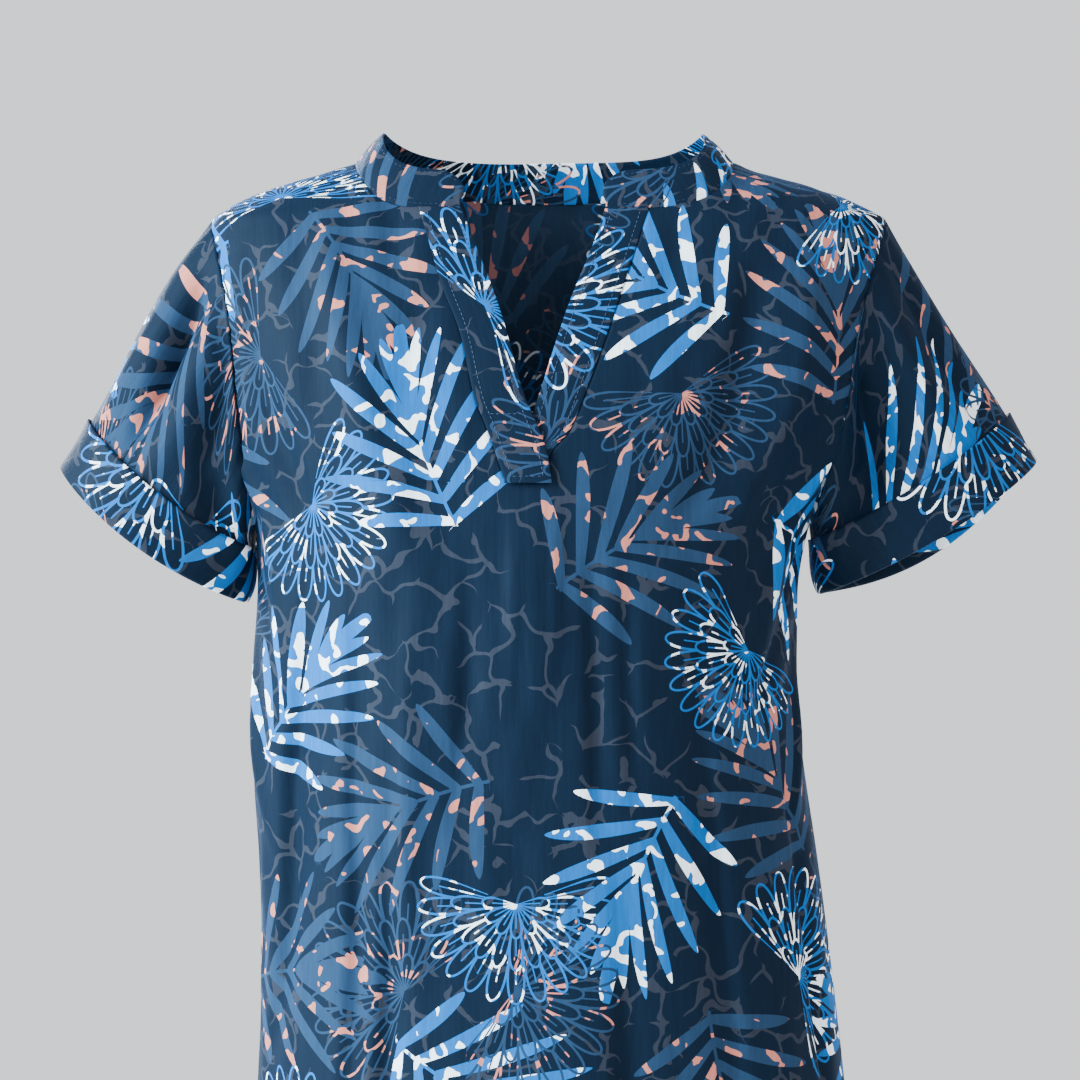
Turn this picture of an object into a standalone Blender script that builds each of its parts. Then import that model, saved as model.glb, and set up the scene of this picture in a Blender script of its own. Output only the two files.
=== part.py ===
"""A midi dress as it hangs on a figure: hollow, with a V placket, a stand neckband and short
cuffed sleeves.

Metres, +Z up. The front faces -Y. Left and right are the wearer's, so the right sleeve is at
-X. The origin is in the middle of the neck, at the height where the shoulders carry the dress.
"""

import bpy
import numpy as np

# Cloth walls and the space between them
WALL = 0.0015
SEAM_GAP = 0.0003
CORNER_GAP = 0.0012  # between the edges of two walls that meet at an angle
LAYER = WALL + SEAM_GAP  # from the middle of one wall to the middle of the wall that lies on it

# Heights of the seams
HEM_Z = -1.06
UNDERARM_Z = -0.215
SHOULDER_TIP_Z = -0.0158
SHOULDER_NECK_Z = 0.0235
BACK_NECK_Z = 0.006
BAND_SEAM_Z = -0.0118
NOTCH_END_Z = -0.186
CENTRE_X = -0.006  # the centre front hangs a little to the wearer's right

RIGHT, LEFT = -1, 1
ARMHOLE_SCOOP = 0.10  # how far the armhole seam cuts in from the outline, as a share of it
ON_SEAM = 1e-6  # points this near the plane between front and back are on their seam

PRINT_NAVY = (0.020, 0.055, 0.115)
TRIM_NAVY = (0.016, 0.045, 0.095)
CLOTH_ROUGHNESS = 0.6

# Mesh: quads along each stretch
ACROSS_HALF = 12
NECK_COLUMNS = 6
NOTCH_ROWS = 11
ARMHOLE_ROWS = 14
SKIRT_ROWS = 22
SLEEVE_ROWS = 7
CUFF_ROWS = 2
BAND_ROWS = 2
STRIP_COLUMNS = 3
NOTCH_CROWD = 1.1  # the rows crowd towards the neck by this power, along the placket seam
BACK_CROWD = 1.2  # and along the middle of the back
SLEEVE_MEASURE = 100  # straight steps by which a sleeve's length is measured


def table(columns, *rows):
    """One array for each named column."""
    return dict(zip(columns.split(), np.array(rows, float).T))


# The hanging form, level by level: the outline's half widths on the wearer's right and left,
# how far the cloth stands forward and back at the middle, and how square the level is
# (2 is an ellipse).
FORM = table(
    "z        x_right  x_left   y_front  y_back  square",
    (-1.0600, 0.2230, 0.2340, 0.1460, 0.1500, 2.10),
    (-0.8500, 0.2080, 0.2170, 0.1360, 0.1400, 2.15),
    (-0.7000, 0.1970, 0.2050, 0.1290, 0.1310, 2.20),
    (-0.5790, 0.1900, 0.1941, 0.1240, 0.1220, 2.25),
    (-0.5000, 0.1870, 0.1850, 0.1210, 0.1120, 2.25),
    (-0.4300, 0.1890, 0.1760, 0.1195, 0.1030, 2.25),
    (-0.3700, 0.1925, 0.1670, 0.1200, 0.0980, 2.25),
    (-0.3050, 0.1905, 0.1600, 0.1220, 0.0990, 2.30),
    (-0.2630, 0.1895, 0.1620, 0.1230, 0.1040, 2.30),
    (-0.2150, 0.1915, 0.1705, 0.1200, 0.1090, 2.30),
    (-0.1600, 0.2130, 0.2010, 0.1110, 0.1120, 2.40),
    (-0.1200, 0.2230, 0.2160, 0.1030, 0.1100, 2.55),
    (-0.0800, 0.2255, 0.2210, 0.0900, 0.1040, 2.70),
    (-0.0450, 0.2245, 0.2225, 0.0770, 0.0960, 2.80),
    (-0.0158, 0.2204, 0.2215, 0.0650, 0.0860, 2.80),
    (-0.0090, 0.2120, 0.2110, 0.0620, 0.0830, 2.70),
    (-0.0005, 0.1974, 0.1940, 0.0585, 0.0790, 2.50),
    (0.0095, 0.1700, 0.1640, 0.0545, 0.0730, 2.30),
    (0.0168, 0.1450, 0.1390, 0.0515, 0.0690, 2.10),
    (0.0235, 0.1250, 0.1205, 0.0480, 0.0640, 2.00),
    (0.0340, 0.0900, 0.0850, 0.0400, 0.0500, 2.00),
    (0.0470, 0.0100, 0.0100, 0.0200, 0.0200, 2.00),
)

# The V: where each placket strip is sewn to the front, and each strip's free inner edge.
RIGHT_SEAM = table(
    "z        x",
    (-0.1860, -0.0257),
    (-0.1522, -0.0376),
    (-0.1365, -0.0439),
    (-0.0928, -0.0541),
    (-0.0627, -0.0657),
    (-0.0300, -0.0755),
    (-0.0118, -0.0810),
)
RIGHT_EDGE = table(
    "z        x",
    (-0.1885, 0.0020),
    (-0.1723, -0.0003),
    (-0.1460, -0.0097),
    (-0.1366, -0.0140),
    (-0.0769, -0.0310),
    (-0.0347, -0.0470),
    (-0.0118, -0.0560),
)
LEFT_SEAM = table(
    "z        x",
    (-0.1860, -0.0015),
    (-0.1723, 0.0003),
    (-0.1554, 0.0133),
    (-0.1289, 0.0240),
    (-0.0928, 0.0373),
    (-0.0118, 0.0640),
)
LEFT_EDGE = table(
    "z        x",
    (-0.1855, -0.0225),
    (-0.1334, -0.0059),
    (-0.0788, 0.0116),
    (-0.0313, 0.0302),
    (-0.0118, 0.0365),
)
# The right strip climbs onto the left one as they near each other.
LAP_TOP_Z = -0.075
LAP_RUN = 0.050
# Bends of the neck seam between the strip and the shoulder seam, and at the back
FRONT_NECK_BEND = {RIGHT: (-0.120, -0.010), LEFT: (0.117, -0.010)}
BACK_NECK_BEND = {RIGHT: (-0.094, 0.006), LEFT: (0.090, 0.006)}

# The neckband: how far it leans in towards the neck, round from the right front end (0)
# over the back (0.5) to the left front end (1).
BAND_HEIGHT = 0.028
BAND_CORNER = 0.030  # length of the rounded corner along the band
BAND_DROP = 0.019  # how much lower the band is at its very end
BAND_LEAN = table(
    "share  degrees",
    (0.00, 22),
    (0.12, 34),
    (0.24, 46),
    (0.50, 16),
    (0.76, 46),
    (0.88, 34),
    (1.00, 22),
)

# Sleeves: the mouth's outer and inner corners, its half depth, how far its front and back
# hang below its corners, and how the sleeve leaves the shoulder tip (outward, down).
SLEEVES = {
    RIGHT: dict(
        outer=(-0.3184, -0.1750),
        inner=(-0.1985, -0.2630),
        depth=0.050,
        front_sag=0.009,
        back_sag=0.010,
        start=(0.66, -0.75),
    ),
    LEFT: dict(
        outer=(0.3190, -0.1715),
        inner=(0.1785, -0.2575),
        depth=0.052,
        front_sag=0.006,
        back_sag=0.021,
        start=(0.50, -0.87),
    ),
}
SLEEVE_UNDER = (0.16, -1.0)  # how a sleeve leaves the underarm: outward, down
UNDERARM_CLEAR = 0.0030  # the sleeve and its cuff hang this far off the body's side
CUFF_DEPTH = 0.035
CUFF_FLARE = 0.0012  # the cuff's folded top edge stands off the sleeve by this much more

# Folds of the body. Across runs from the right side seam (-1) over the middle (0) to the left
# side seam (1). Each fold runs from its top to its foot, is as wide as given (share of a
# half), and stands out (+) or lies in (-) by its height at the foot or, where it fades at
# both ends, halfway.
SEAM_STILL = 0.10  # the folds die out over this share of a half before the side seam
FOLD_COLUMNS = "top_z foot_z across_top across_foot width height fades"
FRONT_FOLDS = table(
    FOLD_COLUMNS,
    (-0.187, -0.340, -0.030, -0.030, 0.035, -0.0030, 1),
    (-0.230, -0.560, -0.560, -0.800, 0.090, 0.0050, 1),
    (-0.300, -1.060, -0.430, -0.520, 0.100, -0.0100, 0),
    (-0.420, -1.060, -0.200, -0.240, 0.130, 0.0120, 0),
    (-0.300, -1.060, 0.060, 0.040, 0.110, -0.0100, 0),
    (-0.380, -1.060, 0.300, 0.330, 0.130, 0.0130, 0),
    (-0.330, -1.060, 0.560, 0.630, 0.110, -0.0110, 0),
    (-0.260, -1.060, -0.700, -0.830, 0.080, 0.0070, 0),
    (-0.400, -1.060, 0.820, 0.860, 0.080, 0.0070, 0),
)
BACK_FOLDS = table(
    FOLD_COLUMNS,
    (-0.130, -0.480, -0.640, -0.760, 0.100, 0.0050, 1),
    (-0.130, -0.460, 0.600, 0.740, 0.100, 0.0050, 1),
    (-0.300, -1.060, -0.620, -0.680, 0.120, -0.0110, 0),
    (-0.250, -1.060, -0.340, -0.380, 0.130, 0.0130, 0),
    (-0.240, -1.060, -0.020, -0.050, 0.120, -0.0120, 0),
    (-0.260, -1.060, 0.260, 0.310, 0.130, 0.0130, 0),
    (-0.300, -1.060, 0.550, 0.620, 0.110, -0.0110, 0),
    (-0.400, -1.060, 0.830, 0.850, 0.080, 0.0070, 0),
)
SLEEVE_STILL = 0.20  # the sleeves' folds die out over this share of their length at each end
# Folds of the sleeves: around runs from the top (0) over the front (0.25) and the underarm
# (0.5) to the back (0.75); along runs from the armhole (0) to the mouth (1).
SLEEVE_FOLDS = table(
    "side around along width length height",
    (RIGHT, 0.34, 0.35, 0.07, 0.35, -0.0100),
    (RIGHT, 0.17, 0.45, 0.04, 0.45, -0.0050),
    (RIGHT, 0.68, 0.30, 0.08, 0.40, -0.0060),
    (LEFT, 0.25, 0.28, 0.06, 0.35, -0.0130),
    (LEFT, 0.37, 0.33, 0.05, 0.35, -0.0070),
    (LEFT, 0.70, 0.30, 0.08, 0.40, -0.0060),
)


def smooth(at, values, x):
    """The curve through the points that never overshoots them: cubic pieces, each with the
    harmonic mean of its neighbours' slopes at its ends, or level where these turn."""
    step = np.diff(at)
    slope = np.diff(values) / step
    same = slope[:-1] * slope[1:] > 0
    total = np.where(same, slope[:-1] + slope[1:], 1.0)
    inner = np.where(same, 2 * slope[:-1] * slope[1:] / total, 0.0)
    tangent = np.concatenate([slope[:1], inner, slope[-1:]])
    x = np.clip(x, at[0], at[-1])
    i = np.clip(np.searchsorted(at, x, side="right") - 1, 0, len(step) - 1)
    t = (x - at[i]) / step[i]
    start = values[i] * (1 + 2 * t) * (1 - t) ** 2 + tangent[i] * step[i] * t * (1 - t) ** 2
    end = values[i + 1] * t * t * (3 - 2 * t) - tangent[i + 1] * step[i] * t * t * (1 - t)
    return start + end


def level(column, z):
    return smooth(FORM["z"], FORM[column], z)


def half_width(x, z):
    return np.where(x < 0, level("x_right", z), level("x_left", z))


def on_form(x, z, face):
    """Points of the form at (x, z). Each level is a rounded oval: the share of the depth that
    is left at x is (1 - (x / half width)^square)^(1 / square)."""
    square = level("square", z)
    reach = np.clip(np.abs(x) / half_width(x, z), 0, 1)
    left_over = (1 - reach**square) ** (1 / square)
    y = level("y_back", z) * left_over if face == "back" else -level("y_front", z) * left_over
    return np.stack([x, y, z], -1)


def bend(start, middle, end, t):
    """Points on the parabola from start to end that leaves towards middle."""
    t = np.asarray(t, float)[:, None]
    start, middle, end = (np.array(point, float) for point in (start, middle, end))
    return (1 - t) ** 2 * start + 2 * t * (1 - t) * middle + t * t * end


def armhole(side, down):
    """(x, z) of the armhole seam, from the shoulder tip (0) to the underarm (1)."""
    z = SHOULDER_TIP_Z + (UNDERARM_Z - SHOULDER_TIP_Z) * down
    x = side * half_width(side, z) * (1 - 4 * ARMHOLE_SCOOP * down * (1 - down))
    return np.stack([x, z], -1)


def down_armhole(rows):
    """Even steps round the armhole's oval, as shares of its height."""
    return (1 - np.cos(np.pi * np.arange(rows + 1) / rows)) / 2


def neck_edge(side, face, count):
    """(x, z) of the neck seam of one half, from the middle or the strip to the shoulder."""
    shoulder = (side * half_width(side, SHOULDER_NECK_Z), SHOULDER_NECK_Z)
    share = np.arange(count + 1) / count
    if face == "back":
        return bend((0, BACK_NECK_Z), BACK_NECK_BEND[side], shoulder, share)
    seam = RIGHT_SEAM if side == RIGHT else LEFT_SEAM
    return bend((seam["x"][-1], BAND_SEAM_Z), FRONT_NECK_BEND[side], shoulder, share)


def top_edge(side, face):
    """(x, z) of the neck seam and then the shoulder seam, out to the shoulder tip."""
    share = np.arange(1, ACROSS_HALF - NECK_COLUMNS + 1) / (ACROSS_HALF - NECK_COLUMNS)
    z = SHOULDER_NECK_Z + (SHOULDER_TIP_Z - SHOULDER_NECK_Z) * share
    shoulder = np.stack([side * half_width(side, z), z], -1)
    return np.concatenate([neck_edge(side, face, NECK_COLUMNS), shoulder])


def inner_edge(side, face):
    """(x, z) of the placket seam and then the middle, or of the middle alone, as far down as
    the underarm."""
    if face == "back":
        share = np.linspace(0, 1, ARMHOLE_ROWS + 1) ** BACK_CROWD
        z = BACK_NECK_Z + (UNDERARM_Z - BACK_NECK_Z) * share
        return np.stack([0 * z, z], -1)
    seam = RIGHT_SEAM if side == RIGHT else LEFT_SEAM
    share = np.linspace(0, 1, NOTCH_ROWS + 1) ** NOTCH_CROWD
    z = BAND_SEAM_Z + (NOTCH_END_Z - BAND_SEAM_Z) * share
    notch = np.stack([smooth(seam["z"], seam["x"], z), z], -1)
    z = np.linspace(NOTCH_END_Z - SEAM_GAP, UNDERARM_Z, ARMHOLE_ROWS - NOTCH_ROWS)
    return np.concatenate([notch, np.stack([CENTRE_X + 0 * z, z], -1)])


def half_panel(side, face):
    """(column, row) grid of one half's points. Above the underarm the rows are blended from
    the four edges (a Coons patch in x and z), and below it they are level."""
    across = np.arange(ACROSS_HALF + 1) / ACROSS_HALF
    spread = np.sin(across * np.pi / 2)
    down = down_armhole(ARMHOLE_ROWS)
    top, inner, outer = top_edge(side, face), inner_edge(side, face), armhole(side, down)
    middle_x = CENTRE_X if face == "front" else 0.0
    x = middle_x + (outer[-1, 0] - middle_x) * spread
    foot = np.stack([x, np.full_like(x, UNDERARM_Z)], -1)
    u, v = across[:, None, None], down[None, :, None]
    ruled = (1 - v) * top[:, None] + v * foot[:, None] + (1 - u) * inner[None] + u * outer[None]
    corners = (1 - u) * ((1 - v) * top[0] + v * foot[0]) + u * ((1 - v) * top[-1] + v * foot[-1])
    upper = ruled - corners
    z = np.linspace(UNDERARM_Z, HEM_Z, SKIRT_ROWS + 1)[1:]
    x = middle_x + (side * half_width(side, z) - middle_x) * spread[:, None]
    lower = np.stack([x, np.broadcast_to(z, x.shape)], -1)
    flat = np.concatenate([upper, lower], 1)
    return on_form(flat[..., 0], flat[..., 1], face)


def normals(grid, closed=False):
    """Unit normals of a (column, row) grid: the cross product of its two directions."""
    if closed:
        along = np.roll(grid, -1, 0) - np.roll(grid, 1, 0)
    else:
        along = np.gradient(grid, axis=0)
    cross = np.cross(along, np.gradient(grid, axis=1))
    return cross / np.linalg.norm(cross, axis=-1, keepdims=True)


def fold_height(points, folds):
    """How far the folds move the cloth out: each is a bell across its own line, and grows
    down to its foot, or swells and fades along its length."""
    x, z = points[..., 0], points[..., 2]
    across = np.sign(x) * np.arcsin(np.clip(np.abs(x) / half_width(x, z), 0, 1)) / (np.pi / 2)
    height = np.zeros_like(x)
    for i in range(len(folds["top_z"])):
        fold = {name: column[i] for name, column in folds.items()}
        share = np.clip((z - fold["top_z"]) / (fold["foot_z"] - fold["top_z"]), 0, 1)
        line = fold["across_top"] + (fold["across_foot"] - fold["across_top"]) * share
        swell = np.sin(np.pi * share) if fold["fades"] else share * share * (3 - 2 * share)
        height += fold["height"] * swell * np.exp(-(((across - line) / fold["width"]) ** 2))
    return height * np.clip((1 - np.abs(across)) / SEAM_STILL, 0, 1)


def panel(face):
    """Both halves of the front or back: their folded points and their quads. They share the
    middle column below the notch."""
    folds = FRONT_FOLDS if face == "front" else BACK_FOLDS
    outward = -1 if face == "front" else 1
    halves = []
    for side in (RIGHT, LEFT):
        grid = half_panel(side, face)
        normal = normals(grid) * side * -outward
        # On the side and shoulder seams, front and back move in the seam's own plane.
        on_seam = np.abs(grid[..., 1]) < ON_SEAM
        normal[..., 1] = np.where(on_seam, 0, normal[..., 1])
        normal /= np.linalg.norm(normal, axis=-1, keepdims=True)
        folded = grid + normal * fold_height(grid, folds)[..., None]
        halves.append(folded + np.array([0, outward * SEAM_GAP, 0]))
    rows = halves[0].shape[1]
    split = NOTCH_ROWS + 1 if face == "front" else 0
    number = np.arange(halves[0].shape[0] * rows).reshape(-1, rows)
    other = number + number.size
    other[0, split:] = number[0, split:]
    points = np.concatenate([half.reshape(-1, 3) for half in halves])
    quads = [grid_quads(number), grid_quads(other)[:, ::-1]]
    return points, np.concatenate(quads)


def grid_quads(number):
    """Quads between the numbered points of a (column, row) grid."""
    corners = [number[:-1, :-1], number[1:, :-1], number[1:, 1:], number[:-1, 1:]]
    return np.stack(corners, -1).reshape(-1, 4)


def sleeve_surface(side, steps):
    """(around, along) grid of the sleeve's middle surface and its normals, at the steps given
    for each line. A line is a cubic from the armhole seam to the mouth's oval, which leaves
    outward and down and ends along the sleeve's axis. Its gap to the seam is the corner gap,
    and half of that under the arm."""
    size = SLEEVES[side]
    turn = np.arange(2 * ARMHOLE_ROWS) * np.pi / ARMHOLE_ROWS
    down = (1 - np.cos(turn)) / 2
    flat = armhole(side, down)
    fore = on_form(flat[:, 0], flat[:, 1], "front")
    rear = on_form(flat[:, 0], flat[:, 1], "back")
    start = np.where((turn <= np.pi)[:, None], fore, rear)
    outer = np.array([size["outer"][0], 0, size["outer"][1]])
    inner = np.array([size["inner"][0], 0, size["inner"][1]])
    middle, reach = (outer + inner) / 2, (outer - inner) / 2
    axis = np.cross((0, side, 0), reach)
    axis /= np.linalg.norm(axis)
    forward = np.sin(turn)[:, None]
    sag = np.where(forward > 0, size["front_sag"], size["back_sag"]) * forward**2
    oval = np.cos(turn)[:, None] * reach + forward * (0, -size["depth"], 0)
    end = middle + oval + sag * axis
    top = np.array([side * size["start"][0], 0, size["start"][1]])
    under = np.array([side * SLEEVE_UNDER[0], 0, SLEEVE_UNDER[1]])
    leave = top + (under - top) * down[:, None]
    leave /= np.linalg.norm(leave, axis=1)[:, None]
    clear = down[:, None] ** 2 * np.array([side * UNDERARM_CLEAR, 0, 0])
    start = start + leave * CORNER_GAP * (1 - 0.5 * down[:, None]) + clear
    length = np.linalg.norm(end - start, axis=1)[:, None, None]
    t = steps[..., None]
    place = start[:, None] * (1 + 2 * t) * (1 - t) ** 2 + end[:, None] * t * t * (3 - 2 * t)
    pull = leave[:, None] * t * (1 - t) ** 2 - axis * t * t * (1 - t)
    grid = place + pull * length
    normal = normals(grid, closed=True) * side
    around = turn[:, None] / (2 * np.pi)
    height = np.zeros(grid.shape[:2])
    for i in range(len(SLEEVE_FOLDS["side"])):
        fold = {name: column[i] for name, column in SLEEVE_FOLDS.items()}
        across = ((around - fold["around"]) / fold["width"]) ** 2
        along = ((steps - fold["along"]) / fold["length"]) ** 2
        height += (fold["side"] == side) * fold["height"] * np.exp(-across - along)
    still = np.clip(np.minimum(steps, 1 - steps) / SLEEVE_STILL, 0, 1)
    return grid + normal * (height * still)[..., None], normal


def sleeve_grid(side):
    """The sleeve's points: even steps down to the cuff's top edge, then the cuff's own rows,
    which lie at the same distance from the mouth all round."""
    fine = np.tile(np.linspace(0, 1, SLEEVE_MEASURE + 1), (2 * ARMHOLE_ROWS, 1))
    grid, _ = sleeve_surface(side, fine)
    run = np.linalg.norm(np.diff(grid, axis=1), axis=2)
    from_mouth = np.concatenate([0 * run[:, :1], np.cumsum(run[:, ::-1], 1)], 1)
    wanted = np.linspace(CUFF_DEPTH, 0, CUFF_ROWS + 1)
    cuff = np.array([np.interp(wanted, line, 1 - fine[0]) for line in from_mouth])
    above = cuff[:, :1] * np.arange(SLEEVE_ROWS) / SLEEVE_ROWS
    return sleeve_surface(side, np.concatenate([above, cuff], 1))


def ring_quads(around, along):
    number = np.arange(around * along).reshape(around, along)
    return grid_quads(np.concatenate([number, number[:1]]))


def sleeve(side):
    grid, _ = sleeve_grid(side)
    return grid.reshape(-1, 3), ring_quads(*grid.shape[:2])


def cuff(side):
    """The sleeve's last rows, moved out by a layer, and a little more at the top edge."""
    grid, normal = sleeve_grid(side)
    from_top = np.abs(np.arange(2 * ARMHOLE_ROWS) / ARMHOLE_ROWS - 1)[:, None, None]
    flare = CUFF_FLARE * from_top * np.linspace(1, 0, CUFF_ROWS + 1)[:, None]
    grid = grid[:, SLEEVE_ROWS:] + normal[:, SLEEVE_ROWS:] * (LAYER + SEAM_GAP + flare)
    return grid.reshape(-1, 3), ring_quads(*grid.shape[:2])


def neck_seam():
    """Points of the neck seam, from the right strip's free edge round the back to the left
    strip's: the panels' own points, with one at each shoulder seam."""
    sides = {}
    for side, seam, edge in ((RIGHT, RIGHT_SEAM, RIGHT_EDGE), (LEFT, LEFT_SEAM, LEFT_EDGE)):
        x = np.linspace(edge["x"][-1], seam["x"][-1], STRIP_COLUMNS + 1)[:-1]
        strip_top = np.stack([x, np.full_like(x, BAND_SEAM_Z)], -1)
        fore = np.concatenate([strip_top, neck_edge(side, "front", NECK_COLUMNS)[:-1]])
        rear = neck_edge(side, "back", NECK_COLUMNS)[::-1]
        fore = on_form(fore[:, 0], fore[:, 1], "front") - (0, SEAM_GAP, 0)
        rear = on_form(rear[:, 0], rear[:, 1], "back") + (0, SEAM_GAP, 0)
        rear[0, 1] = 0
        sides[side] = np.concatenate([fore, rear])
    return np.concatenate([sides[RIGHT], sides[LEFT][-2::-1]])


def neckband():
    """The strip that stands on the neck seam and leans in. Its front corners are round."""
    seam = neck_seam()
    way = np.concatenate([[0], np.cumsum(np.linalg.norm(np.diff(seam, axis=0), axis=1))])
    lean = np.radians(smooth(BAND_LEAN["share"], BAND_LEAN["degrees"], way / way[-1]))
    inward = -seam * (1, 1, 0)
    inward /= np.linalg.norm(inward, axis=1)[:, None]
    rise = np.cos(lean)[:, None] * np.array([0, 0, 1]) + np.sin(lean)[:, None] * inward
    from_end = np.clip(np.minimum(way, way[-1] - way) / BAND_CORNER, 0, 1)
    height = BAND_HEIGHT - BAND_DROP * (1 - np.sqrt(1 - (1 - from_end) ** 2))
    share = np.arange(BAND_ROWS + 1) / BAND_ROWS
    along = CORNER_GAP + height[:, None] * share
    grid = seam[:, None] + rise[:, None] * along[..., None]
    return grid.reshape(-1, 3), grid_quads(np.arange(grid[..., 0].size).reshape(grid.shape[:2]))


def strip(side, edge, lift):
    """A placket strip: points of the form between its seam, at the front's own rows, and its
    free edge, moved out by its lift at each height."""
    seam_x, seam_z = inner_edge(side, "front")[: NOTCH_ROWS + 1].T
    z = np.concatenate([[seam_z[0] - CORNER_GAP], seam_z[1:-1], edge["z"][:1]])
    sewn = np.interp(-z, -seam_z, seam_x)
    free = smooth(edge["z"], edge["x"], z)
    sewn = sewn + np.sign(free - sewn) * SEAM_GAP
    share = np.arange(STRIP_COLUMNS + 1)[:, None] / STRIP_COLUMNS
    x = sewn + (free - sewn) * share
    points = on_form(x, np.broadcast_to(z, x.shape), "front")
    points[..., 1] -= SEAM_GAP + lift(z)
    number = np.arange(x.size).reshape(x.shape)
    return points.reshape(-1, 3), grid_quads(number)


def lap(z):
    """How far the right strip stands off the form where it lies on the left one."""
    share = np.clip((LAP_TOP_Z - z) / LAP_RUN, 0, 1)
    return (LAYER + SEAM_GAP) * share * share * (3 - 2 * share)


def cloth_material(name, colour):
    """Plain woven cloth: a Principled shader with a colour and no metal."""
    material = bpy.data.materials.new(name)
    material.use_nodes = True
    shader = material.node_tree.nodes["Principled BSDF"]
    shader.inputs["Base Color"].default_value = (*colour, 1)
    shader.inputs["Roughness"].default_value = CLOTH_ROUGHNESS
    shader.inputs["Metallic"].default_value = 0
    return material


def cloth_piece(name, points, quads, material, collection):
    """A piece of cloth: an open surface given its wall by Solidify, half to each side."""
    mesh = bpy.data.meshes.new(name)
    mesh.from_pydata(points.tolist(), [], quads.tolist())
    mesh.shade_smooth()
    if len(np.unique(quads)) < len(points):
        drop_loose_points(mesh)
    mesh.materials.append(material)
    piece = bpy.data.objects.new(name, mesh)
    collection.objects.link(piece)
    wall = piece.modifiers.new("wall", "SOLIDIFY")
    wall.thickness = WALL
    wall.offset = 0
    return piece


def drop_loose_points(mesh):
    """Keep only the points that a face uses."""
    quads = np.array([tuple(face.vertices) for face in mesh.polygons])
    used, quads = np.unique(quads, return_inverse=True)
    points = np.array([tuple(mesh.vertices[i].co) for i in used])
    mesh.clear_geometry()
    mesh.from_pydata(points.tolist(), [], quads.reshape(-1, 4).tolist())


def main():
    for found in list(bpy.data.objects):
        bpy.data.objects.remove(found)
    dress = bpy.data.collections.new("midi_dress")
    bpy.context.scene.collection.children.link(dress)
    pieces = {
        "front": (panel("front"), PRINT_NAVY),
        "back": (panel("back"), PRINT_NAVY),
        "sleeve_right": (sleeve(RIGHT), PRINT_NAVY),
        "sleeve_left": (sleeve(LEFT), PRINT_NAVY),
        "cuff_right": (cuff(RIGHT), TRIM_NAVY),
        "cuff_left": (cuff(LEFT), TRIM_NAVY),
        "neckband": (neckband(), TRIM_NAVY),
        "placket_right": (strip(RIGHT, RIGHT_EDGE, lap), TRIM_NAVY),
        "placket_left": (strip(LEFT, LEFT_EDGE, np.zeros_like), TRIM_NAVY),
    }
    for name, ((points, quads), colour) in pieces.items():
        material = cloth_material(name + "_cloth", colour)
        cloth_piece(name, points, quads, material, dress)


main()
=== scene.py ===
"""The looks of a hanging midi dress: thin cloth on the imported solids' form, its folds, its printed
leaves and blossoms, its sewing, and the floor, lights and camera.

Metres, +Z up. The front faces -Y. Left and right are the wearer's, so the right sleeve is at -X.
"""

from functools import partial

import bpy
import numpy as np
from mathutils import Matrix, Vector


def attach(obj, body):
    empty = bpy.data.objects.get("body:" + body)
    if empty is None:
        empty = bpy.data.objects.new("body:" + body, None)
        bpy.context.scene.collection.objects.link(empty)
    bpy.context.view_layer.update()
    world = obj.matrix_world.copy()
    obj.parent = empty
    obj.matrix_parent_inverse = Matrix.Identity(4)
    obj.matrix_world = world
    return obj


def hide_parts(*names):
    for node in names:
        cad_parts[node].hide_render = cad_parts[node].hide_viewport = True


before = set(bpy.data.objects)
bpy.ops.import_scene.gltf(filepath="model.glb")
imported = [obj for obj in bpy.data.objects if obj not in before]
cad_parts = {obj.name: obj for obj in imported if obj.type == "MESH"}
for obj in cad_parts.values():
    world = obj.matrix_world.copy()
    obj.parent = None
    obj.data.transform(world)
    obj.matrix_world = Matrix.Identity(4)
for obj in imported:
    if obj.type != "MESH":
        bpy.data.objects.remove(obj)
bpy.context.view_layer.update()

# Heights of the seams
HEM_Z = -1.06
UNDERARM_Z = -0.215
SHOULDER_TIP_Z = -0.0158
SHOULDER_NECK_Z = 0.0235
BACK_NECK_Z = 0.006
BAND_SEAM_Z = -0.0118
NOTCH_END_Z = -0.186
CENTRE_X = -0.006  # the centre front hangs a little to the wearer's right
RIGHT, LEFT = -1, 1
WORDS = {RIGHT: "right", LEFT: "left"}
ARMHOLE_SCOOP = 0.10  # how far the armhole seam cuts in from the outline, as a share of it

# Cloth: one layer is drawn a little thicker than it is, and the trims are several layers
CLOTH = 0.0007
TRIM = 0.0012
HEM_GAP = 0.0006  # from the cloth to the middle of the hem's fold
SEAM_DIP, SEAM_DIP_REACH = 0.0009, 0.0016
STITCH_LENGTH, STITCH_PITCH, STITCH_RADIUS = 0.0025, 0.0034, 0.00026
# Lines of the cloth that thread follows, with the way out of the cloth
STITCHED = {"hem": [], "placket_right": [], "placket_left": [], "neckband": []}

# Mesh: quads along each stretch
ACROSS_HALF = 76
NECK_COLUMNS = 38
NOTCH_ROWS = 66
ARMHOLE_ROWS = 84
SKIRT_ROWS = 216
SKIRT_STEP = (UNDERARM_Z - HEM_Z) / SKIRT_ROWS
HEM_ROWS = 5
SLEEVE_AROUND = 144
SLEEVE_ROWS = 60
CUFF_ROWS = 16
BAND_ROWS = 10
STRIP_COLUMNS = 12
# Powers that crowd the rows of an inner edge towards its top
NOTCH_CROWD = 1.1
BACK_CROWD = 1.2
# Shares round a sleeve: from the underarm over the front, the top and the back to the underarm
AROUND = 0.5 - np.linspace(0, 1, SLEEVE_AROUND + 1)
PLAIN = "square degrees turn size hand"  # columns that aren't in thousandths


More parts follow.
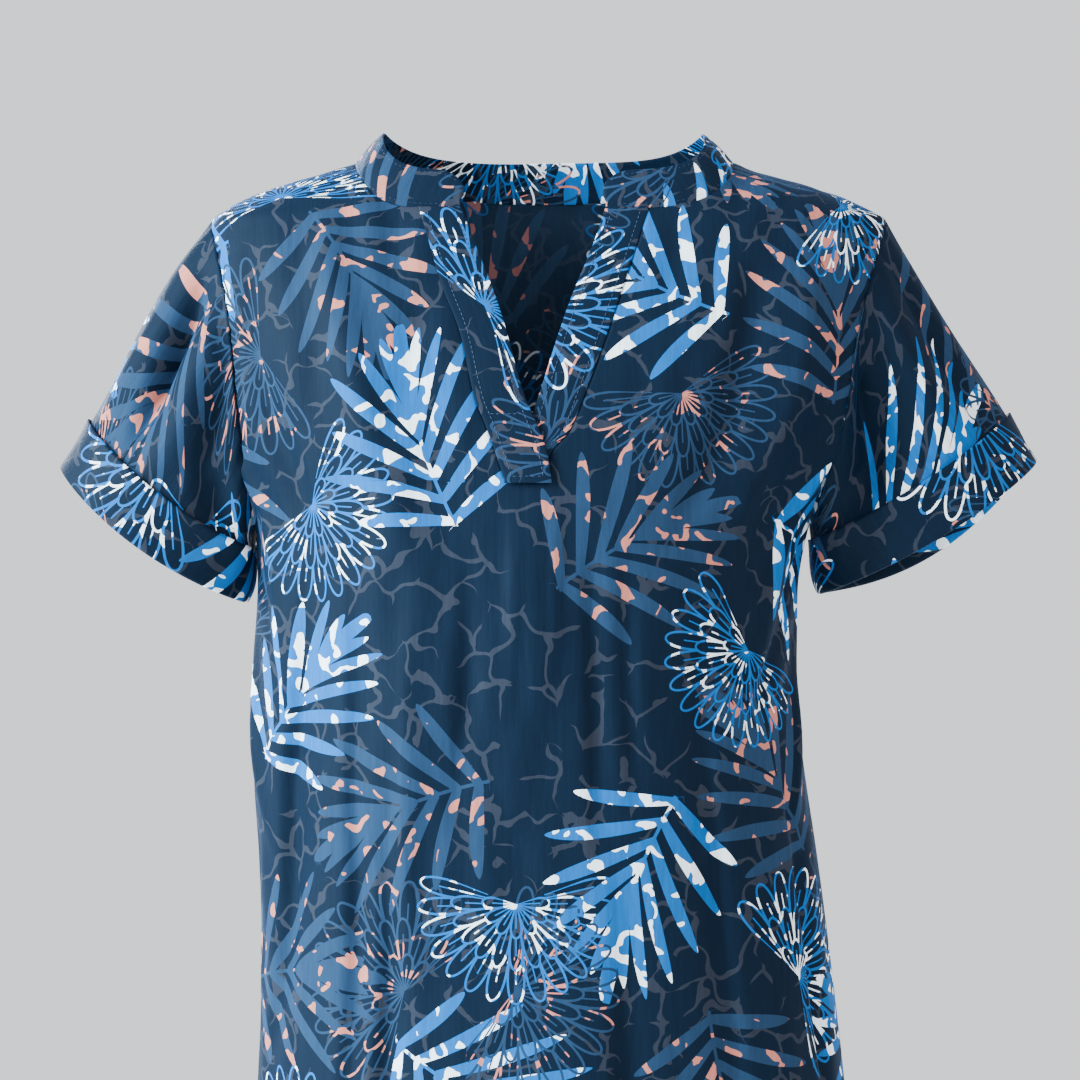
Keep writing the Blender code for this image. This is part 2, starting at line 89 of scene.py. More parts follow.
def table(text):
    """Arrays by the names in the text's first line. The numbers below are millimetres or other
    thousandths, except in the plain columns. Lines with # are notes."""
    names, *rows = (line.split() for line in text.split("\n") if line.strip() and "#" not in line)
    values = np.array(rows, float) / [1 if name in PLAIN.split() else 1000 for name in names]
    return dict(zip(names, values.T))


def rows_of(columns):
    """The rows of a table, each with its named values."""
    return [dict(zip(columns, row)) for row in zip(*columns.values())]


# The hanging form, level by level: half widths on the wearer's right and left, how far the
# cloth stands forward and back at the middle, and how square the level is (2 is an ellipse).
FORM = table("""
    z     x_right x_left y_front y_back square
    -1060 223     234    146     150    2.1
    -850  208     217    136     140    2.15
    -700  197     205    129     131    2.2
    -579  190     194.1  124     122    2.25
    -500  187     185    121     112    2.25
    -430  189     176    119.5   103    2.25
    -370  192.5   167    120     98     2.25
    -305  190.5   160    122     99     2.3
    -263  189.5   162    123     104    2.3
    -215  191.5   170.5  120     109    2.3
    -160  213     201    111     112    2.4
    -120  223     216    103     110    2.55
    -80   225.5   221    90      104    2.7
    -45   224.5   222.5  77      96     2.8
    -15.8 220.4   221.5  65      86     2.8
    -9    212     211    62      83     2.7
    -0.5  197.4   194    58.5    79     2.5
    9.5   170     164    54.5    73     2.3
    16.8  145     139    51.5    69     2.1
    23.5  125     120.5  48      64     2
    34    90      85     40      50     2
    47    10      10     20      20     2
""")
# The V: where each placket strip is sewn to the front, and each strip's free inner edge.
SEAMS = {
    RIGHT: table("""
    z x
    -186 -25.7
    -152.2 -37.6
    -136.5 -43.9
    -92.8 -54.1
    -62.7 -65.7
    -30 -75.5
    -11.8 -81
    """),
    LEFT: table("""
    z x
    -186 -1.5
    -172.3 0.3
    -155.4 13.3
    -128.9 24
    -92.8 37.3
    -11.8 64
    """),
}
EDGES = {
    RIGHT: table("""
    z x
    -188.5 2
    -172.3 -0.3
    -146 -9.7
    -136.6 -14
    -76.9 -31
    -34.7 -47
    -11.8 -56
    """),
    LEFT: table("""
    z x
    -185.5 -22.5
    -133.4 -5.9
    -78.8 11.6
    -31.3 30.2
    -11.8 36.5
    """),
}
LAP_TOP_Z = -0.075  # the right strip climbs onto the left one from here down
LAP_RUN, LAP_LIFT = 0.050, 0.0019
STRIP_LIFT = {RIGHT: 0.0009, LEFT: 0.0003}  # how far out of the form they lie
STRIP_OVER = {RIGHT: -0.0016, LEFT: 0.0}  # and how far past the seam they start
BOX_TOP_Z = -0.146  # the stitched box that closes the lap, down to the strips' feet
FRONT_NECK_BEND = {RIGHT: (-0.120, -0.010), LEFT: (0.117, -0.010)}
BACK_NECK_BEND = {RIGHT: (-0.094, 0.006), LEFT: (0.090, 0.006)}
BAND_HEIGHT = 0.028
BAND_SUNK = 0.0008  # how far it starts below the neck seam
BAND_CORNER, BAND_DROP = 0.030, 0.019  # its front corners' length along it, and their height
BAND_CROWN = 0.0012  # how far its middle stands out
# The cuff: its depth, how far it turns in, how far its layers lie from the sleeve's middle, and
# the radius of its fold and its cloth's thickness
CUFF_DEPTH, CUFF_TURNED = 0.035, 0.016
CUFF_OUT, CUFF_IN = 0.0014, -0.0012
CUFF_FOLD, CUFF_WALL = 0.0013, 0.0009
FOLDED_EDGE = 0.0003  # bevel of the strips' and the band's edges
BAND_LEAN = table("""
    share degrees
    0 22
    120 34
    240 46
    500 16
    760 46
    880 34
    1000 22
""")
# Sleeves: the mouth's outer and inner corners, its half depth, how far its front and back
# hang below its corners, and how the sleeve leaves the shoulder tip.
SLEEVES = {
    RIGHT: dict(
        outer=(-0.3184, 0, -0.1750),
        inner=(-0.1985, 0, -0.2630),
        depth=0.050,
        front_sag=0.009,
        back_sag=0.010,
        start=(-0.66, 0, -0.75),
    ),
    LEFT: dict(
        outer=(0.3190, 0, -0.1715),
        inner=(0.1785, 0, -0.2575),
        depth=0.052,
        front_sag=0.006,
        back_sag=0.021,
        start=(0.50, 0, -0.87),
    ),
}
SLEEVE_UNDER = (0.16, 0, -1.0)  # and the underarm, on the left
UNDERARM_CLEAR = 0.0030
SLEEVE_STILL = 0.12  # the sleeves' folds die out over this share of their length at the armhole
CUFF_STILL = 0.030  # and this far from the mouth, where the cuff holds them
SLEEVE_START = -0.01  # share of its length at which it starts, inside the armhole's seam
CUFF_CLEAR, CUFF_FADE = 0.001, 0.012  # its ripples end this far above the cuff, over this length
SEAM_STILL = 0.10  # the panels' folds die out over this share of a half before the side seam

# Folds of the body. Across runs from the right side seam (-1) over the middle (0) to the left
# side seam (1). A fold runs from its top to its foot, bowed to one side by its bow, and is as
# wide on its right and left as given. It stands out (+) or lies in (-) by its height, which it
# has at its foot if that is at the hem, or else halfway, and then it fades at both ends.
FOLDS = {
    "front": table("""
    top_z foot_z across_top across_foot bow to_right to_left height
    # the large folds
    -187 -340 -30 -30 0 35 35 3
    -230 -560 -590 -800 20 30 120 -10
    -300 -1060 -430 -520 0 100 100 10
    -420 -1060 -200 -240 0 130 130 -12
    -300 -1060 60 40 0 110 110 10
    -380 -1060 300 330 0 130 130 -13
    -330 -1060 560 630 0 110 110 11
    -260 -1060 -700 -830 0 80 80 -7
    -400 -1060 820 860 0 80 80 -7
    # soft drags from the shoulders over the chest
    -20 -270 -430 -330 30 70 60 8.5
    -30 -270 -660 -580 20 50 60 -5
    -40 -235 400 310 10 35 55 -6.5
    -30 -270 540 450 20 55 45 5.5
    -30 -200 700 600 10 50 50 -3.5
    -120 -320 800 620 -20 35 45 5
    -110 -310 -860 -700 20 45 35 4.5
    # drags from under the arms
    -200 -350 900 540 30 32 55 -4.5
    -210 -380 -900 -600 -30 45 30 -4
    -250 -440 950 680 20 30 40 4.5
    -250 -430 -960 -760 -20 35 30 4
    # pleat lines below the V, and soft lines beside them
    -190 -340 -75 -85 4 10 14 2.2
    -192 -310 15 10 0 9 12 2
    -200 -440 90 110 10 16 34 -3.4
    -225 -400 190 210 0 26 20 -2.8
    -215 -420 -170 -200 10 18 38 -3.4
    -240 -520 -300 -330 10 24 44 3.8
    -250 -640 -440 -470 12 20 45 -5.5
    -380 -800 -355 -400 8 18 45 -6
    -300 -640 400 440 -10 45 22 -5
    -330 -700 700 740 10 24 45 -6.5
    -420 -860 160 130 12 22 45 -6
    -460 -1060 -640 -700 10 40 70 -8.5
    -540 -1060 -60 -90 8 35 55 -7.5
    -500 -1060 450 500 10 30 55 -8.5
    -560 -1060 -350 -390 8 35 50 7
    -620 -1060 190 210 8 35 50 6.5
    """),
    "back": table("""
    top_z foot_z across_top across_foot bow to_right to_left height
    # the large folds
    -130 -480 -640 -760 0 100 100 -5
    -130 -460 600 740 0 100 100 -5
    -300 -1060 -620 -680 0 120 120 11
    -250 -1060 -340 -380 0 130 130 -13
    -240 -1060 -20 -50 0 120 120 12
    -260 -1060 260 310 0 130 130 -13
    -300 -1060 550 620 0 110 110 11
    -400 -1060 830 850 0 80 80 -7
    # soft lines
    -20 -280 -520 -400 20 40 55 5.5
    -40 -300 -340 -280 20 50 40 -4.5
    -30 -300 500 390 10 55 40 5.5
    -50 -310 330 250 10 40 50 -4.5
    -100 -350 -840 -580 -30 35 55 -6
    -110 -360 850 600 30 55 35 -6
    -160 -440 -180 -150 15 30 50 -4.8
    -170 -460 160 170 12 50 30 -5
    -190 -520 10 0 10 32 40 4
    -300 -660 -480 -500 12 22 45 -6.5
    -320 -720 420 450 12 45 22 -6.5
    -420 -900 -220 -230 12 22 42 -6
    -460 -920 130 110 10 42 22 -6
    -500 -1060 720 740 10 35 55 -8
    -540 -1060 -500 -530 8 30 55 -8
    -560 -1060 430 450 8 32 50 7
    -580 -1060 -170 -200 8 32 50 7
    -600 -1060 80 100 8 30 45 -6
    """),
}
# Folds of the sleeves: around runs from the top (0) over the front (0.25) and the underarm
# (0.5) to the back (0.75); along runs from the armhole (0) to the mouth (1). A fold turns
# round the sleeve by its drift as it runs down.
SLEEVE_FOLDS = {
    RIGHT: table("""
    around along width length drift height
    345 620 60 300 20 -19
    146 380 19 260 50 -18.5
    212 360 40 280 40 10.5
    80 440 30 360 20 4.5
    265 240 18 220 30 -5
    235 740 24 160 -80 -6
    680 300 80 400 -20 -7
    820 420 26 400 -20 -7
    870 500 34 400 -20 4.5
    755 400 22 340 20 3.5
    """),
    LEFT: table("""
    around along width length drift height
    270 340 45 420 60 -21
    350 520 60 360 20 -16
    170 460 32 420 50 8
    105 450 18 360 30 -4.5
    215 720 18 180 -60 -4
    700 300 80 400 -20 -7
    830 420 30 400 -20 -6.5
    885 500 32 400 -20 4.5
    770 400 22 340 20 3.5
    """),
}
RIPPLE = 0.0007  # height of the cloth's fine unevenness
PUCKER = 0.0005  # height of the ripples that sewing leaves beside a seam
PUCKER_LENGTH = 0.013
PUCKER_REACH = 0.012
PUCKER_FADE = 0.02  # at the armholes they grow from this far above the underarm to twice as far
SLEEVE_ENDS = 1 / 12  # the sleeves' unevenness dies out over this share of their length at each end


def unit(vectors):
    """The vectors at length 1."""
    return vectors / np.maximum(np.linalg.norm(vectors, axis=-1, keepdims=True), 1e-12)


def blend(first, second, share):
    """The first at share 0, the second at share 1."""
    return first * (1 - share) + second * share


def cubic(start, end, leaving, arriving, t):
    """The cubic from start to end that has these slopes there, at shares t of its way."""
    first = (start * (1 + 2 * t) + leaving * t) * (1 - t) ** 2
    return first + (end * (3 - 2 * t) - arriving * (1 - t)) * t * t


def smooth(at, values, x):
    """The curve through the points that never overshoots them: cubic pieces, each with the
    harmonic mean of its neighbours' slopes at its ends, or level where these turn."""
    step = np.diff(at)
    slope = np.diff(values) / step
    same = slope[:-1] * slope[1:] > 0
    total = np.where(same, slope[:-1] + slope[1:], 1.0)
    inner = np.where(same, 2 * slope[:-1] * slope[1:] / total, 0.0)
    tangent = np.concatenate([slope[:1], inner, slope[-1:]])
    x = np.clip(x, at[0], at[-1])
    i = np.clip(np.searchsorted(at, x, side="right") - 1, 0, len(step) - 1)
    slopes = tangent[i] * step[i], tangent[i + 1] * step[i]
    return cubic(values[i], values[i + 1], *slopes, (x - at[i]) / step[i])


def level(column, z):
    """A column of the form at heights z."""
    return smooth(FORM["z"], FORM[column], z)


def half_width(x, z):
    """The half width at heights z on x's side."""
    return np.where(x < 0, level("x_right", z), level("x_left", z))


def across_of(x, z):
    """The share of a half at which x lies: even steps of it are even steps round the oval."""
    return np.sign(x) * np.arcsin(np.clip(np.abs(x) / half_width(x, z), 0, 1)) / (np.pi / 2)


def on_form(x, z, face):
    """Points of the form at (x, z). Each level is a rounded oval: the share of the depth that
    is left at x is (1 - (x / half width)^square)^(1 / square)."""
    square = level("square", z)
    reach = np.clip(np.abs(x) / half_width(x, z), 0, 1)
    left_over = (1 - reach**square) ** (1 / square)
    y = level("y_back", z) * left_over if face == "back" else -level("y_front", z) * left_over
    return np.stack([x, y, z], -1)


def bend(start, middle, end, t):
    """Points on the parabola from start to end that leaves towards middle."""
    t = np.asarray(t, float)[:, None]
    start, middle, end = (np.array(point, float) for point in (start, middle, end))
    return (1 - t) ** 2 * start + 2 * t * (1 - t) * middle + t * t * end


def armhole(side, down):
    """(x, z) of the armhole seam, from the shoulder tip (0) to the underarm (1)."""
    z = SHOULDER_TIP_Z + (UNDERARM_Z - SHOULDER_TIP_Z) * down
    x = side * half_width(side, z) * (1 - 4 * ARMHOLE_SCOOP * down * (1 - down))
    return np.stack([x, z], -1)


def neck_edge(side, face, count):
    """(x, z) of the neck seam of one half, from the middle or the strip to the shoulder."""
    shoulder = (side * half_width(side, SHOULDER_NECK_Z), SHOULDER_NECK_Z)
    share = np.arange(count + 1) / count
    if face == "back":
        return bend((0, BACK_NECK_Z), BACK_NECK_BEND[side], shoulder, share)
    seam_top = (SEAMS[side]["x"][-1], BAND_SEAM_Z)
    return bend(seam_top, FRONT_NECK_BEND[side], shoulder, share)


def top_edge(side, face):
    """(x, z) of the neck seam and then the shoulder seam, out to the shoulder tip."""
    share = np.arange(1, ACROSS_HALF - NECK_COLUMNS + 1) / (ACROSS_HALF - NECK_COLUMNS)
    z = blend(SHOULDER_NECK_Z, SHOULDER_TIP_Z, share)
    shoulder = np.stack([side * half_width(side, z), z], -1)
    return np.concatenate([neck_edge(side, face, NECK_COLUMNS), shoulder])


def inner_edge(side, face):
    """(x, z) of the placket seam and then the middle, or of the middle alone, as far down as
    the underarm."""
    if face == "back":
        share = np.linspace(0, 1, ARMHOLE_ROWS + 1) ** BACK_CROWD
        z = BACK_NECK_Z + (UNDERARM_Z - BACK_NECK_Z) * share
        return np.stack([0 * z, z], -1)
    share = np.linspace(0, 1, NOTCH_ROWS + 1) ** NOTCH_CROWD
    z = BAND_SEAM_Z + (NOTCH_END_Z - BAND_SEAM_Z) * share
    notch = np.stack([smooth(SEAMS[side]["z"], SEAMS[side]["x"], z), z], -1)
    z = np.linspace(NOTCH_END_Z, UNDERARM_Z, ARMHOLE_ROWS - NOTCH_ROWS + 1)[1:]
    return np.concatenate([notch, np.stack([CENTRE_X + 0 * z, z], -1)])


def half_panel(side, face):
    """(column, row) grid of one half's points. Above the underarm the rows are blended from
    the four edges (a Coons patch in x and z), and below it they are level."""
    across = np.arange(ACROSS_HALF + 1) / ACROSS_HALF
    spread = np.sin(across * np.pi / 2)
    down = (1 - np.cos(np.pi * np.arange(ARMHOLE_ROWS + 1) / ARMHOLE_ROWS)) / 2
    top, inner, outer = top_edge(side, face), inner_edge(side, face), armhole(side, down)
    middle_x = CENTRE_X if face == "front" else 0.0
    x = middle_x + (outer[-1, 0] - middle_x) * spread
    foot = np.stack([x, np.full_like(x, UNDERARM_Z)], -1)
    u, v = across[:, None, None], down[None, :, None]
    ruled = blend(top[:, None], foot[:, None], v) + blend(inner[None], outer[None], u)
    upper = ruled - blend(blend(top[0], foot[0], v), blend(top[-1], foot[-1], v), u)
    z = np.linspace(UNDERARM_Z, HEM_Z, SKIRT_ROWS + 1)[1:]
    x = middle_x + (side * half_width(side, z) - middle_x) * spread[:, None]
    lower = np.stack([x, np.broadcast_to(z, x.shape)], -1)
    flat = np.concatenate([upper, lower], 1)
    return on_form(flat[..., 0], flat[..., 1], face)


def normals(grid, closed=False):
    """Unit normals of a (column, row) grid: the cross product of its two directions. The first
    and last columns of a closed one are the same."""
    along = np.gradient(grid, axis=0)
    if closed:
        along[[0, -1]] = (grid[1] - grid[-2]) / 2
    return unit(np.cross(along, np.gradient(grid, axis=1)))


def run_along(grid, axis):
    """Length of the grid's lines from their first point, along the axis."""
    step = np.linalg.norm(np.diff(grid, axis=axis), axis=-1)
    start = np.zeros_like(np.take(step, [0], axis))
    return np.concatenate([start, np.cumsum(step, axis)], axis)


def cloth_places(x, z, face):
    """Where points of the form lie in the flat cloth: how far across from the middle along
    their level, and how far down along the line that keeps its share of the half width. Both
    are measured once on an even grid and read off it."""
    columns, rows = 120, 400
    share = np.linspace(-1, 1, columns + 1)[:, None]
    height = np.linspace(SHOULDER_NECK_Z, HEM_Z, rows + 1)[None]
    half = np.where(share < 0, level("x_right", height), level("x_left", height))
    points = on_form(half * np.sin(share * np.pi / 2), np.broadcast_to(height, half.shape), face)
    measured = np.stack([run_along(points, 0), run_along(points, 1)], -1)
    measured[..., 0] -= measured[columns // 2, :, 0]
    underarm = round(np.interp(-UNDERARM_Z, -height[0], np.arange(rows + 1)))
    measured[..., 1] -= measured[:, [underarm], 1] + UNDERARM_Z
    i = np.clip((across_of(x, z) + 1) * columns / 2, 0, columns - 0.001)
    j = (SHOULDER_NECK_Z - z) / (SHOULDER_NECK_Z - HEM_Z) * rows
    j = np.clip(j, 0, rows - 0.001)
    low_i, low_j = i.astype(int), j.astype(int)
    part = (j - low_j)[..., None]
    near = blend(measured[low_i, low_j], measured[low_i, low_j + 1], part)
    far = blend(measured[low_i + 1, low_j], measured[low_i + 1, low_j + 1], part)
    return blend(near, far, (i - low_i)[..., None])


def fold_height(x, z, folds):
    """How far the folds move the cloth out: each is a bell across its own bowed line, and
    grows down to its foot, or swells and fades along its length."""
    across = across_of(x, z)
    height = np.zeros_like(x)
    for fold in rows_of(folds):
        share = np.clip((z - fold["top_z"]) / (fold["foot_z"] - fold["top_z"]), 0, 1)
        line = blend(fold["across_top"], fold["across_foot"], share)
        line = line + fold["bow"] * 4 * share * (1 - share)
        width = np.where(across < line, fold["to_right"], fold["to_left"])
        to_hem = fold["foot_z"] <= HEM_Z
        swell = share * share * (3 - 2 * share) if to_hem else np.sin(np.pi * share)
        height += fold["height"] * swell * np.exp(-(((across - line) / width) ** 2))
    return height * np.clip((1 - np.abs(across)) / SEAM_STILL, 0, 1)


def ripple(u, v, seed):
    """Fine unevenness: a sum of sines with seeded directions, longer down the cloth than
    across it, that grow and fade together in patches."""
    random = np.random.default_rng(seed)
    height = np.zeros_like(u)
    for _ in range(14):
        across, along = random.uniform(90, 260), random.uniform(12, 60) * random.choice([-1, 1])
        height += np.sin(across * u + along * v + random.uniform(0, 2 * np.pi))
    patch = np.sin(19 * u + 7 * v + seed) * np.sin(11 * v - 13 * u + 2 * seed)
    return RIPPLE * height / np.sqrt(14) * (0.55 + 0.45 * patch)


def pucker(along, away):
    """Ripples beside a seam: a sine along it, with a slower one for unevenness, that dies out
    away from it."""
    wave = np.sin(2 * np.pi * along / PUCKER_LENGTH + 1.7 * np.sin(along * 23))
    return PUCKER * wave * np.exp(-((away / PUCKER_REACH) ** 2))


def grid_quads(number):
    """Quads between the numbered points of a (column, row) grid."""
    corners = [number[:-1, :-1], number[1:, :-1], number[1:, 1:], number[:-1, 1:]]
    return np.stack(corners, -1).reshape(-1, 4)


# The print. Motifs lie in a repeat of the cloth, at (across, down) from its corner, turned by so
# many degrees, at so many times their usual size, and sprays bow to one hand or the other.
REPEAT = (0.58, 0.64)
CUT_AT = {  # where the pieces were cut from the cloth
    "front": (0.0, 0.0),
    "back": (0.21, 0.35),
    "sleeve": (0.9, 0.13),
    "cuff": (-0.22, 0.34),
    "placket": (0.25, 0.29),
    "neckband": (0.31, 0.5),
}
MOTIFS = {
    "bright_spray": table("""
    across down turn size hand
    70 60 205 1 1
    330 45 150 0.95 -1
    505 175 250 1 1
    195 230 20 1.05 -1
    400 330 310 0.95 1
    60 420 115 0.95 -1
    270 545 200 0.9 1
    520 560 30 1 -1
    """),
    "dusk_spray": table("""
    across down turn size hand
    190 85 265 1 -1
    450 40 60 0.9 1
    40 230 330 0.95 1
    335 190 95 1.05 1
    165 385 235 1 -1
    500 385 160 0.95 -1
    385 500 350 1 1
    110 560 75 0.95 -1
    """),
    "bright_bloom": table("""
    across down turn size
    285 355 200 1
    120 310 130 0.85
    440 215 40 0.85
    400 605 255 1
    190 490 330 0.95
    560 470 90 0.85
    210 0 20 0.8
    """),
    "dusk_bloom": table("""
    across down turn size
    370 110 160 0.9
    270 445 300 1
    470 490 215 0.95
    90 150 70 0.85
    0 510 20 0.9
    310 265 250 0.85
    """),
}
SPRAY_LENGTH = 0.096  # of the stem
SPRAY_LEAVES = 6.5  # leaves on each side of it, the last one ahead
SPRAY_LEAF = 0.080
SPRAY_SPREAD = (72, 4)  # degrees between leaf and stem, at the foot and at the tip
SPRAY_REACH = 0.150  # from its middle, at its usual size
STEM_BOW, LEAF_BOW = 1.6, 2.0  # they leave a straight line by this times the way squared
MOTIF_MARGIN = 0.16  # motifs with their middle this far off the cloth may still reach it
BLOOM_RADIUS = 0.072
FAR = 2.0  # stands for any place off the motifs


def motif_places(motifs, low, high):
    """Every motif of the repeat whose middle is near the cloth between low and high."""
    places = []
    for motif in rows_of(motifs):
        spots = []
        for start, repeat, least, most in zip((motif["across"], motif["down"]), REPEAT, low, high):
            first = np.ceil((least - MOTIF_MARGIN - start) / repeat)
            last = np.floor((most + MOTIF_MARGIN - start) / repeat)
            spots.append(start + repeat * np.arange(first, last + 1))
        places += [dict(motif, u=u, v=v) for u in spots[0] for v in spots[1]]
    return places


def local(u, v, place):
    """Coordinates along and across a motif, from its middle."""
    turn = np.radians(place["turn"])
    du, dv = (u - place["u"]) / place["size"], (v - place["v"]) / place["size"]
    return du * np.cos(turn) + dv * np.sin(turn), dv * np.cos(turn) - du * np.sin(turn)


def spray_fields(u, v, motifs, seed):
    """For each point of the cloth, of the nearest spray: which leaf it is beside (whole
    numbers lie between two leaves), the share of the leaf's length, the leaves' spacing there,
    and how far it is from the stem. Leaves leave the stem at a spread that narrows to its tip,
    and both are bowed. The leaf beside a point is the one whose line passes through it. Leaves
    are longest below the middle of the stem, and each is a little longer or shorter by chance."""
    random = np.random.default_rng(seed)
    fields = [np.zeros_like(u), np.full_like(u, FAR), np.full_like(u, 0.02), np.full_like(u, 0.05)]
    along_stem = np.linspace(0, SPRAY_LENGTH, 240)
    share = along_stem / SPRAY_LENGTH
    spread = np.radians(SPRAY_SPREAD[0] + (SPRAY_SPREAD[1] - SPRAY_SPREAD[0]) * share**0.9)
    length = SPRAY_LEAF * (0.70 + 0.42 * np.sin(np.pi * np.clip(share * 1.15, 0, 1)) - 0.12 * share)
    for place in motif_places(motifs, (u.min(), v.min()), (u.max(), v.max())):
        s, t = local(u, v, place)
        near = np.flatnonzero((np.hypot(s, t) < SPRAY_REACH).ravel())
        if not len(near):
            continue
        s, t = s.ravel()[near] + SPRAY_LENGTH / 2, t.ravel()[near]
        t = t - place["hand"] * STEM_BOW * (s - SPRAY_LENGTH / 2) ** 2
        s = s + LEAF_BOW * t * t
        ahead = (s[:, None] - along_stem) * np.sin(spread) - np.abs(t)[:, None] * np.cos(spread)
        passed = (ahead > 0).sum(1)
        k = np.clip(passed, 1, len(along_stem) - 1)
        before, after = ahead[np.arange(len(k)), k - 1], ahead[np.arange(len(k)), k]
        part = np.clip(before / np.maximum(before - after, 1e-9), 0, 1)
        root = along_stem[k - 1] + part * (along_stem[1] - along_stem[0])
        reach = np.hypot(s - root, t)
        jitter = 1 + random.uniform(-0.10, 0.08, 24)
        leaf = root / SPRAY_LENGTH * SPRAY_LEAVES
        along = reach / (np.interp(root, along_stem, length) * jitter[leaf.astype(int)])
        narrowing = np.radians(SPRAY_SPREAD[0] - SPRAY_SPREAD[1]) / SPRAY_LENGTH
        spacing = (np.sin(np.interp(root, along_stem, spread)) + reach * narrowing)
        spacing = spacing * SPRAY_LENGTH / SPRAY_LEAVES * place["size"]
        along[passed == 0] = FAR
        better = along < fields[1].ravel()[near]
        for field, value in zip(fields, (leaf, along, spacing, t * place["size"])):
            field.ravel()[near[better]] = value[better]
    return fields


def bloom_fields(u, v, motifs):
    """For each point of the cloth: its place in the nearest bloom, in radii, and its distance
    from the bloom's heart."""
    fields = [np.full_like(u, FAR), np.zeros_like(u), np.full_like(u, FAR)]
    for place in motif_places(motifs, (u.min(), v.min()), (u.max(), v.max())):
        s, t = local(u, v, place)
        s, t = (s + 0.35 * BLOOM_RADIUS) / BLOOM_RADIUS, t / BLOOM_RADIUS
        radius = np.hypot(s, t)
        better = radius < np.minimum(fields[2], FAR)
        for field, value in zip(fields, (s, t, radius)):
            field[better] = value[better]
    return fields


def print_fields(u, v):
    """The print's attributes on the cloth's points."""
    found = {}
    for seed, kind in enumerate(("bright_spray", "dusk_spray")):
        leaf, along, spacing, off_stem = spray_fields(u, v, MOTIFS[kind], seed)
        found[kind] = np.stack([leaf, along, spacing], -1)
        found[kind + "_stem"] = off_stem
    for kind in ("bright_bloom", "dusk_bloom"):
        found[kind] = np.stack(bloom_fields(u, v, MOTIFS[kind]), -1)
    return found


def add_piece(name, points, quads, materials):
    """A smooth object that rides on the dress's one body."""
    mesh = bpy.data.meshes.new(name)
    mesh.from_pydata(points, [], quads)
    mesh.shade_smooth()
    for material in materials:
        mesh.materials.append(material)
    piece = bpy.data.objects.new(name, mesh)
    bpy.context.scene.collection.objects.link(piece)
    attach(piece, "root")
    return piece


def cloth_piece(node, shape, materials, thickness, bevel=0.0):
    """The cloth that stands for a node, from its points, quads and cloth places, with its own
    UV map in metres of cloth, the print's attributes, and a wall by Solidify, half to each
    side."""
    points, quads, uv = shape
    used, quads = np.unique(quads, return_inverse=True)
    quads, uv = quads.reshape(-1, 4), uv[used]
    piece = add_piece(node + "_cloth", points[used], quads, materials)
    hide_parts(node)
    layer = piece.data.uv_layers.new(name="cloth")
    layer.data.foreach_set("uv", uv[quads.ravel()].astype(np.float32).ravel())
    for key, values in print_fields(uv[:, 0].copy(), uv[:, 1].copy()).items():
        kind, word = ("FLOAT", "value") if values.ndim == 1 else ("FLOAT_VECTOR", "vector")
        attribute = piece.data.attributes.new(key, kind, "POINT")
        attribute.data.foreach_set(word, values.astype(np.float32).ravel())
    wall = piece.modifiers.new("wall", "SOLIDIFY")
    wall.thickness = thickness
    wall.offset = 0
    wall.material_offset = len(materials) - 1
    if bevel:
        edge = piece.modifiers.new("folded edges", "BEVEL")
        edge.width = bevel
        edge.segments = 2
        edge.limit_method = "ANGLE"
    return piece


def turned_up(points, out, place):
    """The grid with its last rows carried round the hem and up inside: a half circle below
    the hem, and then the rows above it, moved in by its width."""
    rows = 1 + np.arange(HEM_ROWS)
    turn = np.linspace(0, np.pi, 6)[1:]
    down = unit(points[:, -1:] - points[:, -2:-1])
    inward = (np.cos(turn)[:, None] - 1) * out[:, -1:]
    fold = points[:, -1:] + HEM_GAP * (inward + np.sin(turn)[:, None] * down)
    inside = points[:, -1 - rows] - 2 * HEM_GAP * out[:, -1 - rows]
    steps = np.concatenate([turn * HEM_GAP, rows * SKIRT_STEP + np.pi * HEM_GAP])
    added = place[:, -1:] + np.stack([0 * steps, steps], -1)
    return np.concatenate([points, fold, inside], 1), np.concatenate([place, added], 1)


def panel_grids(face):
    """Both halves of the front or back: their folded points and their places in the cloth,
    across from the middle and down from the shoulders, along the cloth itself. Their seams
    dip a little, and the hem is turned up."""
    outward = -1 if face == "front" else 1
    halves = []
    for side in (RIGHT, LEFT):
        grid = half_panel(side, face)
        x, y, z = np.moveaxis(grid, -1, 0)
        normal = normals(grid) * side * outward
        normal[..., 1] = np.where(np.abs(y) < 1e-6, 0, normal[..., 1])
        normal = unit(normal)
        folded = grid + normal * fold_height(x, z, FOLDS[face])[..., None]
        place = cloth_places(x, z, face)
        u, v = place[..., 0], place[..., 1]
        still = np.clip((1 - np.abs(across_of(x, z))) / SEAM_STILL, 0, 1)
        fine = ripple(u, v, 3 if face == "front" else 8) * still
        away = run_along(folded[::-1], 0)[::-1]
        beside_armhole = np.clip((z - UNDERARM_Z) / PUCKER_FADE - 1, 0, 1)
        fine = fine + pucker(v, away) * beside_armhole * (away > 0)
        sunk = SEAM_DIP * np.exp(-((away / SEAM_DIP_REACH) ** 2))
        points = folded + normal * (fine - sunk)[..., None]
        out = normal[:, -1 - HEM_ROWS]
        STITCHED["hem"].append((points[:, -1 - HEM_ROWS] + out * CLOTH / 2, out))
        halves.append(turned_up(points, normal, place + CUT_AT[face]))
    return halves


